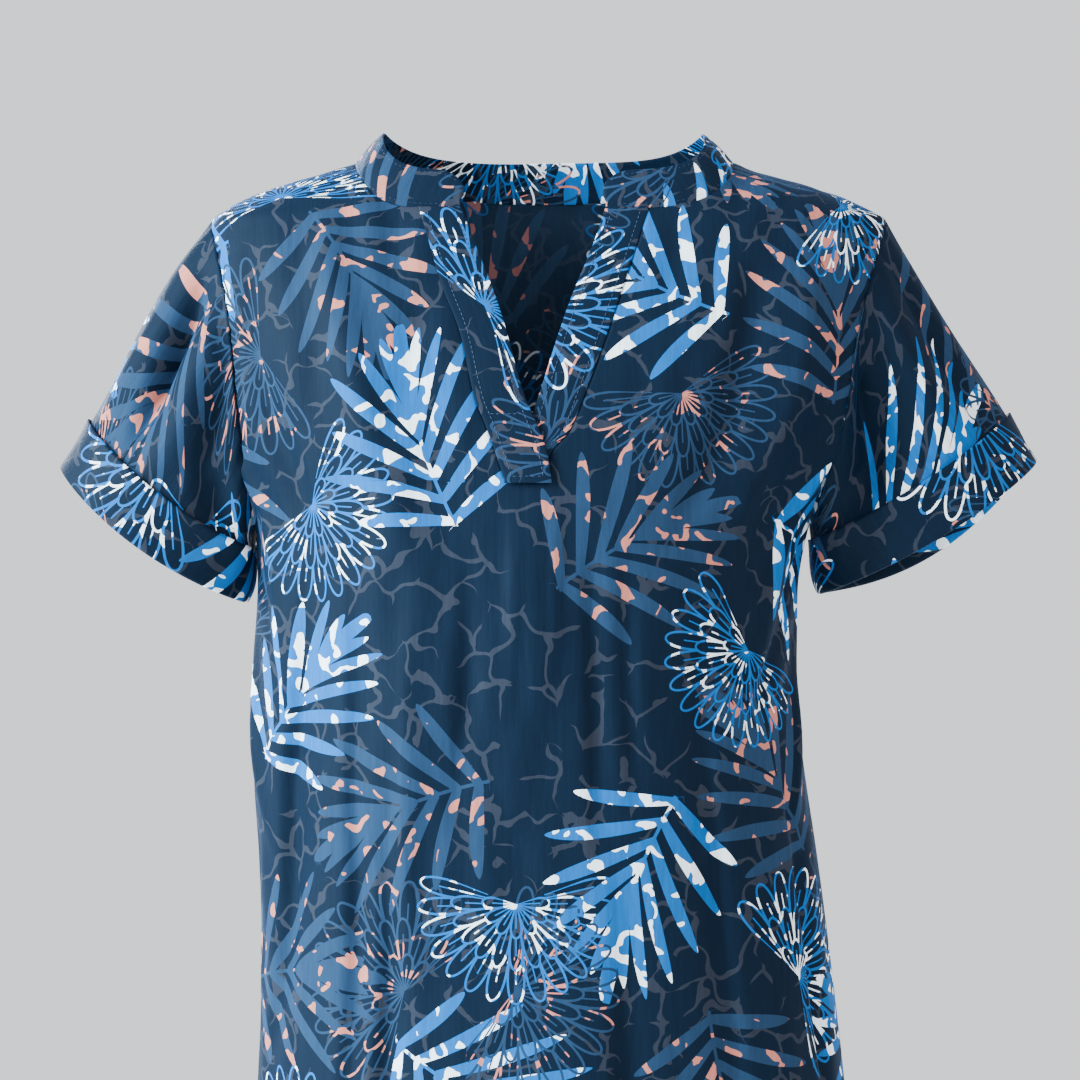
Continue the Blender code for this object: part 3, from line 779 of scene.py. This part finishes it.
def panel(face):
    """The front's or back's points, quads and cloth places. The halves share the middle column
    below the notch."""
    halves = panel_grids(face)
    rows = halves[0][0].shape[1]
    split = NOTCH_ROWS + 1 if face == "front" else 0
    number = np.arange(halves[0][0].shape[0] * rows).reshape(-1, rows)
    other = number + number.size
    other[0, split:] = number[0, split:]
    points = np.concatenate([half[0].reshape(-1, 3) for half in halves])
    uv = np.concatenate([half[1].reshape(-1, 2) for half in halves])
    quads = np.concatenate([grid_quads(number), grid_quads(other)[:, ::-1]])
    if face == "back":
        quads = quads[:, ::-1]
    return points, quads, uv


def sleeve_surface(side, steps):
    """(around, along) grid of the sleeve, its normals and its axis, at steps from the armhole
    (0) to the mouth (1). A line is a cubic from the armhole seam to the mouth's oval, which
    leaves outward and down and ends along the axis."""
    size = SLEEVES[side]
    turn = AROUND * 2 * np.pi
    down = (1 - np.cos(turn)) / 2
    flat = armhole(side, down)
    fore, rear = (on_form(*flat.T, face) for face in ("front", "back"))
    start = np.where((np.sin(turn) >= 0)[:, None], fore, rear)
    outer, inner, top = (np.array(size[key]) for key in ("outer", "inner", "start"))
    middle, reach = (outer + inner) / 2, (outer - inner) / 2
    axis = unit(np.cross((0, side, 0), reach))
    forward = np.sin(turn)[:, None]
    sag = np.where(forward > 0, size["front_sag"], size["back_sag"]) * forward**2
    oval = np.cos(turn)[:, None] * reach + forward * (0, -size["depth"], 0)
    end = middle + oval + sag * axis
    leave = unit(blend(top, np.array(SLEEVE_UNDER) * (side, 1, 1), down[:, None]))
    start = start + down[:, None] ** 2 * np.array([side * UNDERARM_CLEAR, 0, 0])
    length = np.linalg.norm(end - start, axis=1)[:, None, None]
    ends = start[:, None], end[:, None], leave[:, None] * length, axis * length
    grid = cubic(*ends, steps[..., None])
    normal = normals(grid, closed=True) * -side
    height = np.zeros(grid.shape[:2])
    for fold in rows_of(SLEEVE_FOLDS[side]):
        line = fold["around"] + fold["drift"] * (steps - fold["along"])
        across = (np.mod(AROUND[:, None] - line + 0.5, 1) - 0.5) / fold["width"]
        along = (steps - fold["along"]) / fold["length"]
        height += fold["height"] * np.exp(-across**2 - along**2)
    from_mouth = (1 - steps) * length[..., 0]
    height *= np.clip(steps / SLEEVE_STILL, 0, 1)
    height *= np.clip((from_mouth - CUFF_STILL) / CUFF_STILL, 0.10, 1)
    return grid + normal * height[..., None], normal, axis


def laid_out(grid, u, v, kind, side, turned):
    """Points, quads and cloth places of a grid that is cut from the cloth at CUT_AT, and
    mirrored there on the wearer's right. Quads that would face in are turned over."""
    quads = grid_quads(np.arange(u.size).reshape(u.shape))
    start = CUT_AT[kind]
    places = np.stack([side * (u + start[0]), v + start[1]], -1)
    return grid.reshape(-1, 3), quads[:, ::-1] if turned else quads, places.reshape(-1, 2)


def sleeve(side):
    """A sleeve, smooth under its cuff and rippled and puckered above it."""
    steps = np.tile(np.linspace(SLEEVE_START, 1, SLEEVE_ROWS + 1), (len(AROUND), 1))
    grid, normal, _ = sleeve_surface(side, steps)
    v = run_along(grid, 1)
    u = run_along(grid[:, SLEEVE_ROWS // 2], 0)
    u = np.broadcast_to((u - u[SLEEVE_AROUND // 2])[:, None], v.shape)
    inside_ends = np.clip(np.minimum(steps, 1 - steps) / SLEEVE_ENDS, 0, 1)
    above_cuff = np.clip((v[:, -1:] - v - CUFF_DEPTH - CUFF_CLEAR) / CUFF_FADE, 0, 1)
    height = (ripple(u, v, 20 + side) * inside_ends + pucker(u, v)) * above_cuff
    return laid_out(grid + normal * height[..., None], u, v, "sleeve", side, side == LEFT)


def cuff_profile():
    """The turned-up cuff from its top edge down outside the sleeve, round the fold below the
    mouth and up inside: distance from the mouth, offset from the sleeve, overshoot below."""
    down = np.linspace(CUFF_DEPTH, 0, CUFF_ROWS + 1)
    turn = np.linspace(0, np.pi, 9)[1:-1]
    up = np.linspace(0, CUFF_TURNED, 7)
    distance = np.concatenate([down, 0 * turn, up])
    folded = (CUFF_OUT + CUFF_IN) / 2 + CUFF_FOLD * np.cos(turn)
    offset = np.concatenate([0 * down + CUFF_OUT, folded, 0 * up + CUFF_IN])
    below = np.concatenate([0 * down, CUFF_FOLD * np.sin(turn), 0 * up])
    return distance, offset, below


def cuff(side):
    """A cuff. Its place on each line of the sleeve is read off even steps along that line, and
    outside it flares a little and unevenly towards its top edge."""
    distance, offset, below = cuff_profile()
    fine = np.linspace(0, 1, 101)
    even, normal, axis = sleeve_surface(side, np.tile(fine, (len(AROUND), 1)))
    from_mouth = run_along(even[:, ::-1], 1)
    steps = np.array([np.interp(distance, line, 1 - fine) for line in from_mouth])
    last = len(fine) - 1
    before = np.minimum(steps * last, last - 1).astype(int)
    part = (steps * last - before)[..., None]
    line = np.arange(len(AROUND))[:, None]
    grid, normal = (blend(a[line, before], a[line, before + 1], part) for a in (even, normal))
    from_top = np.abs(np.cos(np.pi * AROUND))[:, None]
    u = run_along(grid[:, :1], 0)
    wave = 0.0009 * (1 + np.sin(u * 41 + 1.3) * np.sin(u * 17 + 0.4))
    flare = (wave + 0.0007 * from_top) * np.clip(distance / CUFF_DEPTH, 0, 1) ** 2 * (offset > 0)
    grid = grid + normal * (offset + flare)[..., None] + axis * below[:, None]
    v = np.broadcast_to(run_along(grid[:1], 1), flare.shape)
    u = np.broadcast_to(u - u[len(u) // 2], flare.shape)
    return laid_out(grid, u, -v, "cuff", side, side == LEFT)


def neck_seam():
    """Points of the neck seam, from the right strip's free edge round the back to the left
    strip's."""
    sides = {}
    for side in (RIGHT, LEFT):
        x = np.linspace(EDGES[side]["x"][-1], SEAMS[side]["x"][-1], STRIP_COLUMNS + 1)[:-1]
        strip_top = np.stack([x, np.full_like(x, BAND_SEAM_Z)], -1)
        fore = np.concatenate([strip_top, neck_edge(side, "front", NECK_COLUMNS)[:-1]])
        rear = neck_edge(side, "back", NECK_COLUMNS)[::-1]
        fore, rear = on_form(*fore.T, "front"), on_form(*rear.T, "back")
        rear[0, 1] = 0
        sides[side] = np.concatenate([fore, rear])
    return np.concatenate([sides[RIGHT], sides[LEFT][-2::-1]])


def neckband():
    """The strip that stands on the neck seam and leans in. Its front corners are round, and
    its top edge rolls a little."""
    seam = neck_seam()
    way = run_along(seam, 0)
    lean = np.radians(smooth(BAND_LEAN["share"], BAND_LEAN["degrees"], way / way[-1]))
    inward, up = unit(-seam * (1, 1, 0)), np.array([0, 0, 1])
    cos, sin = np.cos(lean)[:, None], np.sin(lean)[:, None]
    rise, out = cos * up + sin * inward, sin * up - cos * inward
    from_end = np.clip(np.minimum(way, way[-1] - way) / BAND_CORNER, 0, 1)
    height = BAND_HEIGHT - BAND_DROP * (1 - np.sqrt(1 - (1 - from_end) ** 2))
    height = height + 0.0005 * np.sin(way * 47) * from_end
    share = np.linspace(0, 1, BAND_ROWS + 1)
    along = height[:, None] * share - BAND_SUNK
    crown = BAND_CROWN * np.sin(np.pi * share) + 0.0006 * np.sin(way * 61)[:, None] * share
    grid = seam[:, None] + rise[:, None] * along[..., None] + out[:, None] * crown[..., None]
    for row in (1, BAND_ROWS - 1):
        line = grid[3:-3, row] + out[3:-3] * TRIM / 2
        STITCHED["neckband"].append((line, out[3:-3]))
    return laid_out(grid, np.broadcast_to(way[:, None], along.shape), -along, "neckband", 1, True)


def strip(side):
    """A placket strip: points of the form between its seam and its free edge, moved out. The
    right one laps over the front's edge and, low down, over the left one. It is sewn along
    both edges, and the right one has the two rows of the stitched box as well."""
    edge, seam = EDGES[side], SEAMS[side]
    z = np.linspace(BAND_SEAM_Z, edge["z"][0], 2 * NOTCH_ROWS + 1)
    sewn = smooth(seam["z"], seam["x"], z)
    free = smooth(edge["z"], edge["x"], z)
    share = np.linspace(0, 1, STRIP_COLUMNS + 1)[:, None]
    over = STRIP_OVER[side]
    x = sewn + over + (free - sewn - over) * share
    points = on_form(x, np.broadcast_to(z, x.shape), "front")
    climb = np.clip((LAP_TOP_Z - z) / LAP_RUN, 0, 1)
    lift = LAP_LIFT * climb * climb * (3 - 2 * climb) if side == RIGHT else 0 * z
    lift = lift + STRIP_LIFT[side]
    soft = 0.0005 * np.sin(np.pi * share) * (1 + 0.5 * np.sin(z * 90 + side))
    points[..., 1] -= lift + soft
    out = normals(points)
    out *= np.sign(-out[..., 1:2])
    surface = points + out * TRIM / 2
    near = STRIP_COLUMNS // 6
    lines = STITCHED["placket_" + WORDS[side]]
    lines += [(surface[i, 2:-3], out[i, 2:-3]) for i in (near, -1 - near)]
    if side == RIGHT:
        box_top = np.argmin(np.abs(z - BOX_TOP_Z))
        rows = box_top, len(z) - 4
        lines += [(surface[near:-near, row], out[near:-near, row]) for row in rows]
    u = run_along(points, 0)
    v = np.broadcast_to(run_along(points[:1], 1), u.shape)
    return laid_out(points, u, v, "placket", side, side == RIGHT)


def thread(name, lines, material):
    """Stitches along lines of the cloth. Each is a six-sided spindle whose radius is
    sqrt(1 - (0.92 a)^2) of the thread's at a, from end (-1) to end (1), and whose ends dive
    into the cloth."""
    a = np.linspace(-1, 1, 5)[:, None]
    b = np.arange(6) * np.pi / 3
    ring = np.sqrt(1 - (0.92 * a) ** 2) * STITCH_RADIUS
    aside, up = ring * np.cos(b), ring * np.sin(b) + STITCH_RADIUS * (0.5 - 1.1 * a * a)
    points = []
    for line, out in lines:
        way = run_along(line, 0)
        count = int(way[-1] / STITCH_PITCH)
        at = (np.arange(count) + 0.5) * way[-1] / count
        place, ahead, normal = (
            np.stack([np.interp(spots, way, values[:, i]) for i in range(3)], -1)[:, None, None]
            for spots, values in ((at, line), (at + STITCH_LENGTH / 5, line), (at, out))
        )
        along = unit(ahead - place)
        across = np.cross(along, normal)
        stitch = place + along * (a * STITCH_LENGTH / 2)[..., None] + across * aside[..., None]
        points.append(stitch + normal * up[..., None])
    points = np.concatenate(points)
    number = np.arange(points[..., 0].size).reshape(points.shape[:3])
    number = np.concatenate([number, number[..., :1]], 2)
    corners = [number[:, :-1, :-1], number[:, 1:, :-1], number[:, 1:, 1:], number[:, :-1, 1:]]
    quads = np.stack(corners, -1).reshape(-1, 4)[:, ::-1]
    return add_piece(name, points.reshape(-1, 3), quads, (material,))


def srgb(colour):
    """Linear colour from its hex value."""
    value = np.array([int(colour[i:i + 2], 16) for i in (1, 3, 5)]) / 255
    linear = np.where(value <= 0.04045, value / 12.92, ((value + 0.055) / 1.055) ** 2.4)
    return (*linear.tolist(), 1.0)


def feed(node, inputs):
    """Gives a node's inputs their values, by order or name: another node's output is linked, a
    hex colour is made linear, and anything else is set."""
    for key, value in inputs.items():
        if isinstance(value, bpy.types.NodeSocket):
            node.id_data.links.new(value, node.inputs[key])
        else:
            node.inputs[key].default_value = srgb(value) if isinstance(value, str) else value


def add(tree, kind, *values, out=0, **named):
    """Adds a shader node and returns the chosen output. A second word in its kind is its
    operation, or a Mix's type of data. Values go to its inputs in order, or by names that
    start with a capital, and the other names are settings."""
    kind, _, mode = kind.partition(" ")
    node = tree.nodes.new("ShaderNode" + kind)
    if mode:
        setattr(node, "data_type" if kind == "Mix" else "operation", mode)
    inputs = dict(zip((0, 6, 7) if kind == "Mix" else range(len(values)), values))
    for key, value in named.items():
        if key[0].isupper():
            inputs[key] = value
        else:
            setattr(node, key, value)
    feed(node, inputs)
    return node.outputs[2 if kind == "Mix" else out]


def group(name, inputs, output, kind):
    """An empty node group: what adds its nodes, its inputs by name, and its output node."""
    tree = bpy.data.node_groups.new(name, "ShaderNodeTree")
    for socket, kind_in in inputs.items():
        tree.interface.new_socket(socket, in_out="INPUT", socket_type="NodeSocket" + kind_in)
    tree.interface.new_socket(output, in_out="OUTPUT", socket_type="NodeSocket" + kind)
    source = tree.nodes.new("NodeGroupInput")
    return partial(add, tree), source.outputs, tree.nodes.new("NodeGroupOutput")


LEAF_WIDTH = 0.0042  # half the width of a leaf, at its widest
STEM_WIDTH = 0.0011
LINE = 0.00085  # half the width of the blooms' drawn lines
VEIN, VEIN_TOP = 0.62, 0.72  # a vein's share of that width, and where in the petal it ends
# From the outer ring in: where the petals start and end, in radii, how many there are, and the
# angle to which they fan out on each side.
BLOOM_RINGS = ((0.30, 1.0, 15, 1.92), (0.16, 0.66, 11, 1.75), (0.0, 0.34, 7, 1.9))


def spray_group():
    """1 on a leaf or on the stem. A leaf is as wide as (0.45 + 1.3 s)(1 - s)^0.6 says at the
    share s of its length, so it is broadest in the middle and pointed at the tip."""
    put, given, sink = group("leaf spray", {"Leaf": "Vector", "Stem": "Float"}, "Mask", "Float")
    number, share, spacing = put("SeparateXYZ", given["Leaf"], out=slice(3))
    part = put("Math FRACT", number)
    off = put("Math SUBTRACT", part, 0.5)
    off = put("Math ABSOLUTE", off)
    off = put("Math MULTIPLY", off, spacing)
    swell = put("Math MULTIPLY_ADD", share, 1.3, 0.45)
    rest = put("Math SUBTRACT", 1.0, share, use_clamp=True)
    taper = put("Math POWER", rest, 0.6)
    width = put("Math MULTIPLY", swell, taper)
    width = put("Math MULTIPLY", width, LEAF_WIDTH / 0.74)
    on_leaf = put("Math LESS_THAN", off, width)
    stem = put("Math ABSOLUTE", given["Stem"])
    on_stem = put("Math LESS_THAN", stem, STEM_WIDTH)
    near = put("Math LESS_THAN", share, 0.3)
    on_stem = put("Math MULTIPLY", on_stem, near)
    feed(sink, {0: put("Math MAXIMUM", on_leaf, on_stem)})
    return sink.id_data


def bloom_group():
    """Lines of a fan-shaped bloom: 1 on a line. Petals stand in three rings. In a ring a petal
    is where 4 a^2 + b^3 < 1, with a across it and b up it, and its outline is drawn where that
    sum is near 1, divided by its slope so that the line keeps its width. Each petal has a
    vein, and an inner ring covers the one behind it."""
    put, given, sink = group("drawn bloom", {"Place": "Vector"}, "Line", "Float")
    x, y, radius = put("SeparateXYZ", given["Place"], out=slice(3))
    angle = put("Math ARCTAN2", y, x)
    drawn = 0.0
    for foot, tip, count, reach in BLOOM_RINGS:
        step = 2 * reach / count
        index = put("Math MULTIPLY_ADD", angle, 1 / step, 0.5)
        part = put("Math FRACT", index)
        across = put("Math SUBTRACT", part, 0.5)
        open_angle = put("Math ABSOLUTE", angle)
        inside_fan = put("Math LESS_THAN", open_angle, reach)
        up = put("MapRange", radius, foot, tip, 0.0, 1.0, clamp=False)
        cube = put("Math POWER", up, 3.0)
        square = put("Math MULTIPLY", across, across)
        total = put("Math MULTIPLY_ADD", square, 4.0, cube)
        arc = put("Math MULTIPLY", radius, step * BLOOM_RADIUS)
        arc = put("Math MAXIMUM", arc, 1e-4)
        slope_across = put("Math MULTIPLY", across, 8.0)
        slope_across = put("Math DIVIDE", slope_across, arc)
        slope_up = put("Math MULTIPLY", up, up)
        per_metre = 3 / ((tip - foot) * BLOOM_RADIUS)
        slope_up = put("Math MULTIPLY", slope_up, per_metre)
        slope = put("CombineXYZ", slope_across, slope_up, 0.0)
        slope = put("VectorMath LENGTH", slope, out="Value")
        off = put("Math SUBTRACT", total, 1.0)
        inside = put("Math LESS_THAN", off, 0.0)
        off = put("Math ABSOLUTE", off)
        off = put("Math DIVIDE", off, slope)
        line = put("Math LESS_THAN", off, LINE)
        vein = put("Math ABSOLUTE", across)
        vein = put("Math MULTIPLY", vein, arc)
        vein = put("Math LESS_THAN", vein, LINE * VEIN)
        low = put("Math LESS_THAN", up, VEIN_TOP)
        vein = put("Math MULTIPLY", vein, low)
        line = put("Math MAXIMUM", line, vein)
        above = put("Math GREATER_THAN", up, 0.0)
        line = put("Math MULTIPLY", line, above)
        line = put("Math MULTIPLY", line, inside_fan)
        covers = put("Math MULTIPLY", inside, inside_fan)
        clear = put("Math SUBTRACT", 1.0, covers)
        drawn = put("Math MULTIPLY", drawn, clear)
        drawn = put("Math MAXIMUM", drawn, line)
    gate = put("Math LESS_THAN", radius, 1.04)
    feed(sink, {0: put("Math MULTIPLY", drawn, gate)})
    return sink.id_data


GROUND = "#061525"
TWIG = "#262a35"
BRIGHT = "#055695"
WHITE = "#eef3f8"
DUSK = "#1d334c"
PINK = "#b56c5e"


def print_group():
    """The printed colour: twigs on the ground, then dusk sprays, bright sprays, dusk blooms
    and bright blooms. Blotches of a lighter colour run over leaves and lines alike. Twigs
    follow the edges of warped cells of about 30 mm and are up to 3 mm thick, with gaps, and
    blotches are about 10 mm."""
    put, _, sink = group("leaf and bloom print", {}, "Colour", "Color")
    spray, bloom = spray_group(), bloom_group()
    uv = put("UVMap", uv_map="cloth")
    warp = put("TexNoise", Vector=uv, Scale=45.0, Detail=1.0, out="Color")
    warp = put("VectorMath SUBTRACT", warp, (0.5, 0.5, 0.5))
    warp = put("VectorMath SCALE", warp, Scale=0.026)
    warp = put("VectorMath ADD", uv, warp)
    cell = put("TexVoronoi", Vector=warp, Scale=34.0, feature="DISTANCE_TO_EDGE")
    thick = put("TexNoise", Vector=uv, Scale=34.0, Detail=1.0)
    thick = put("Math MULTIPLY_ADD", thick, 0.55, -0.243)
    thick = put("Math MINIMUM", thick, 0.044)
    colour = put("Mix RGBA", put("Math LESS_THAN", cell, thick), GROUND, TWIG)
    look = {"Detail": 0.6, "Roughness": 0.4, "Distortion": 0.9}
    inks = []
    for scale, size, shift, ink, light in (
        (74.0, 0.575, 0.0, BRIGHT, WHITE),
        (72.0, 0.628, 3.7, DUSK, PINK),
    ):
        moved = put("VectorMath ADD", uv, (shift, shift, 0))
        blotch = put("TexNoise", Vector=moved, Scale=scale, **look)
        blotch = put("Math GREATER_THAN", blotch, size)
        inks.append(put("Mix RGBA", blotch, ink, light))
    for kind, shape, ink in (
        ("dusk_spray", spray, inks[1]),
        ("bright_spray", spray, inks[0]),
        ("dusk_bloom", bloom, inks[1]),
        ("bright_bloom", bloom, inks[0]),
    ):
        fields = [put("Attribute", attribute_name=kind, out="Vector")]
        if shape is spray:
            fields.append(put("Attribute", attribute_name=kind + "_stem", out="Fac"))
        colour = put("Mix RGBA", put("Group", *fields, node_tree=shape), colour, ink)
    feed(sink, {0: colour})
    return sink.id_data


def new_material(name):
    """A material, what adds its nodes, and its shader."""
    material = bpy.data.materials.new(name)
    material.use_nodes = True
    tree = material.node_tree
    return material, partial(add, tree), tree.nodes["Principled BSDF"]


def cloth_material(name, design, reverse=False, roughness=0.64):
    """Printed light woven cloth, viscose or fine cotton: a soft sheen, fine crinkles down the
    cloth, 3 mm wide and 24 mm long, and a weave of 1.1 mm, drawn about three times as coarse
    as it is so that it shows. The colour carries painted shade of both: it is darker in the
    crinkles' hollows and lighter on their ridges, and a little lighter on the weave's raised
    squares. The reverse is paler and duller, because the ink only just comes through."""
    material, put, shader = new_material(name)
    colour = put("Group", node_tree=design)
    uv = put("UVMap", uv_map="cloth")
    if reverse:
        colour = put("Mix RGBA", 0.45, colour, "#2c3f56")
    stretched = put("Mapping", uv, Scale=(330.0, 42.0, 1.0))
    crinkle = put("TexNoise", Vector=stretched, Scale=1.0, Detail=2.0)
    threads = put("Mapping", uv, Scale=(900.0, 900.0, 1.0))
    weave = put("TexChecker", Vector=threads, Scale=1.0, out="Fac")
    # painted shade: the colour is up to a tenth darker where the crinkles' bump is low and lighter
    # where it is high, and 3% lighter on the weave's raised squares
    tone = put("MapRange", crinkle, 0.3, 0.7, 0.90, 1.10)
    tone = put("Math MULTIPLY_ADD", weave, 0.03, tone)
    relief = put("Math MULTIPLY_ADD", weave, 0.12, crinkle)
    feed(shader, {
        "Base Color": put("VectorMath SCALE", colour, Scale=tone),
        "Normal": put("Bump", Height=relief, Strength=0.35, Distance=0.0006),
        "Roughness": roughness,
        "Specular IOR Level": 0.06,
        "Sheen Weight": 0.085,
        "Sheen Roughness": 0.35,
        "Sheen Tint": "#2f8ae0",
    })
    return material


def mottled_material(name, dark, light, scale, relief, roughness):
    """A material whose tone and surface vary by noise in the object's own metres. The scale is
    in spots to the metre and the relief is the height of its grain."""
    material, put, shader = new_material(name)
    noise = put("TexNoise", Vector=put("TexCoord", out="Object"), Scale=scale, Detail=3.0)
    part = put("MapRange", noise, 0.35, 0.65, 0.0, 1.0)
    feed(shader, {
        "Base Color": put("Mix RGBA", part, dark, light),
        "Normal": put("Bump", Height=noise, Strength=0.6, Distance=relief),
        "Roughness": roughness,
    })
    return material


def build_dress():
    """All pieces by the names of their nodes, and their stitches."""
    design = print_group()
    face = cloth_material("printed viscose, right side", design)
    inside = cloth_material("printed viscose, reverse", design, reverse=True, roughness=0.75)
    pressed = cloth_material("printed viscose, folded and pressed", design, roughness=0.58)
    both, trim = ((face, inside), CLOTH), ((pressed,), TRIM, FOLDED_EDGE)
    pieces = {name: cloth_piece(name, panel(name), *both) for name in ("front", "back")}
    for side, word in WORDS.items():
        for kind, shape, how in (
            ("sleeve_", sleeve, both),
            ("cuff_", cuff, ((pressed,), CUFF_WALL)),
            ("placket_", strip, trim),
        ):
            pieces[kind + word] = cloth_piece(kind + word, shape(side), *how)
    pieces["neckband"] = cloth_piece("neckband", neckband(), *trim)
    # spun thread of 0.5 mm with fibres of about a fifth of a millimetre
    sewing = mottled_material("polyester sewing thread", "#081a31", "#12335a", 5000.0, 0.0001, 0.6)
    for name, lines in STITCHED.items():
        thread(name + "_stitches", lines, sewing)
    return pieces


def set_stage():
    """A pale floor that the dress hangs well above, window-like soft lights from the left, in
    front and behind, a weak fill and an even pale world."""
    place = (0, 0, -1.42)
    bpy.ops.mesh.primitive_circle_add(vertices=128, radius=3.6, fill_type="NGON", location=place)
    floor = bpy.context.object
    floor.name = "floor"
    # matt painted board, a little uneven over hand's breadths
    board = mottled_material("pale floor", "#e7e7e5", "#ebebe9", 9.0, 0.0004, 0.8)
    floor.data.materials.append(board)
    for name, place, size, power, colour in (
        ("window", (-2.9, -1.15, 0.75), (1.5, 2.2), 640.0, (0.66, 0.89, 1.0)),
        ("fill", (1.6, -2.6, 1.1), (1.2, 1.2), 34.0, (0.92, 0.96, 1.0)),
        ("far window", (-1.9, 2.5, 0.9), (1.4, 2.0), 170.0, (0.84, 0.92, 1.0)),
    ):
        light = bpy.data.lights.new(name, "AREA")
        light.shape = "RECTANGLE"
        light.size, light.size_y = size
        light.energy = power
        light.color = colour
        lamp = bpy.data.objects.new(name, light)
        bpy.context.scene.collection.objects.link(lamp)
        lamp.location = place
        aim = Vector((0, 0, -0.35)) - Vector(place)
        lamp.rotation_euler = aim.to_track_quat("-Z", "Y").to_euler()
    world = bpy.data.worlds.new("even sky")
    world.use_nodes = True
    world.node_tree.nodes["Background"].inputs[0].default_value = (0.95, 0.97, 1.0, 1)
    world.node_tree.nodes["Background"].inputs[1].default_value = 1.25
    bpy.context.scene.world = world
    camera = bpy.data.cameras.new("camera")
    camera.lens, camera.sensor_width = 96.3, 36
    holder = bpy.data.objects.new("camera", camera)
    bpy.context.scene.collection.objects.link(holder)
    holder.location = (-0.0053, -1.9, -0.2237)
    holder.rotation_euler = (np.pi / 2, 0, 0)
    bpy.context.scene.camera = holder


pieces = build_dress()
set_stage()
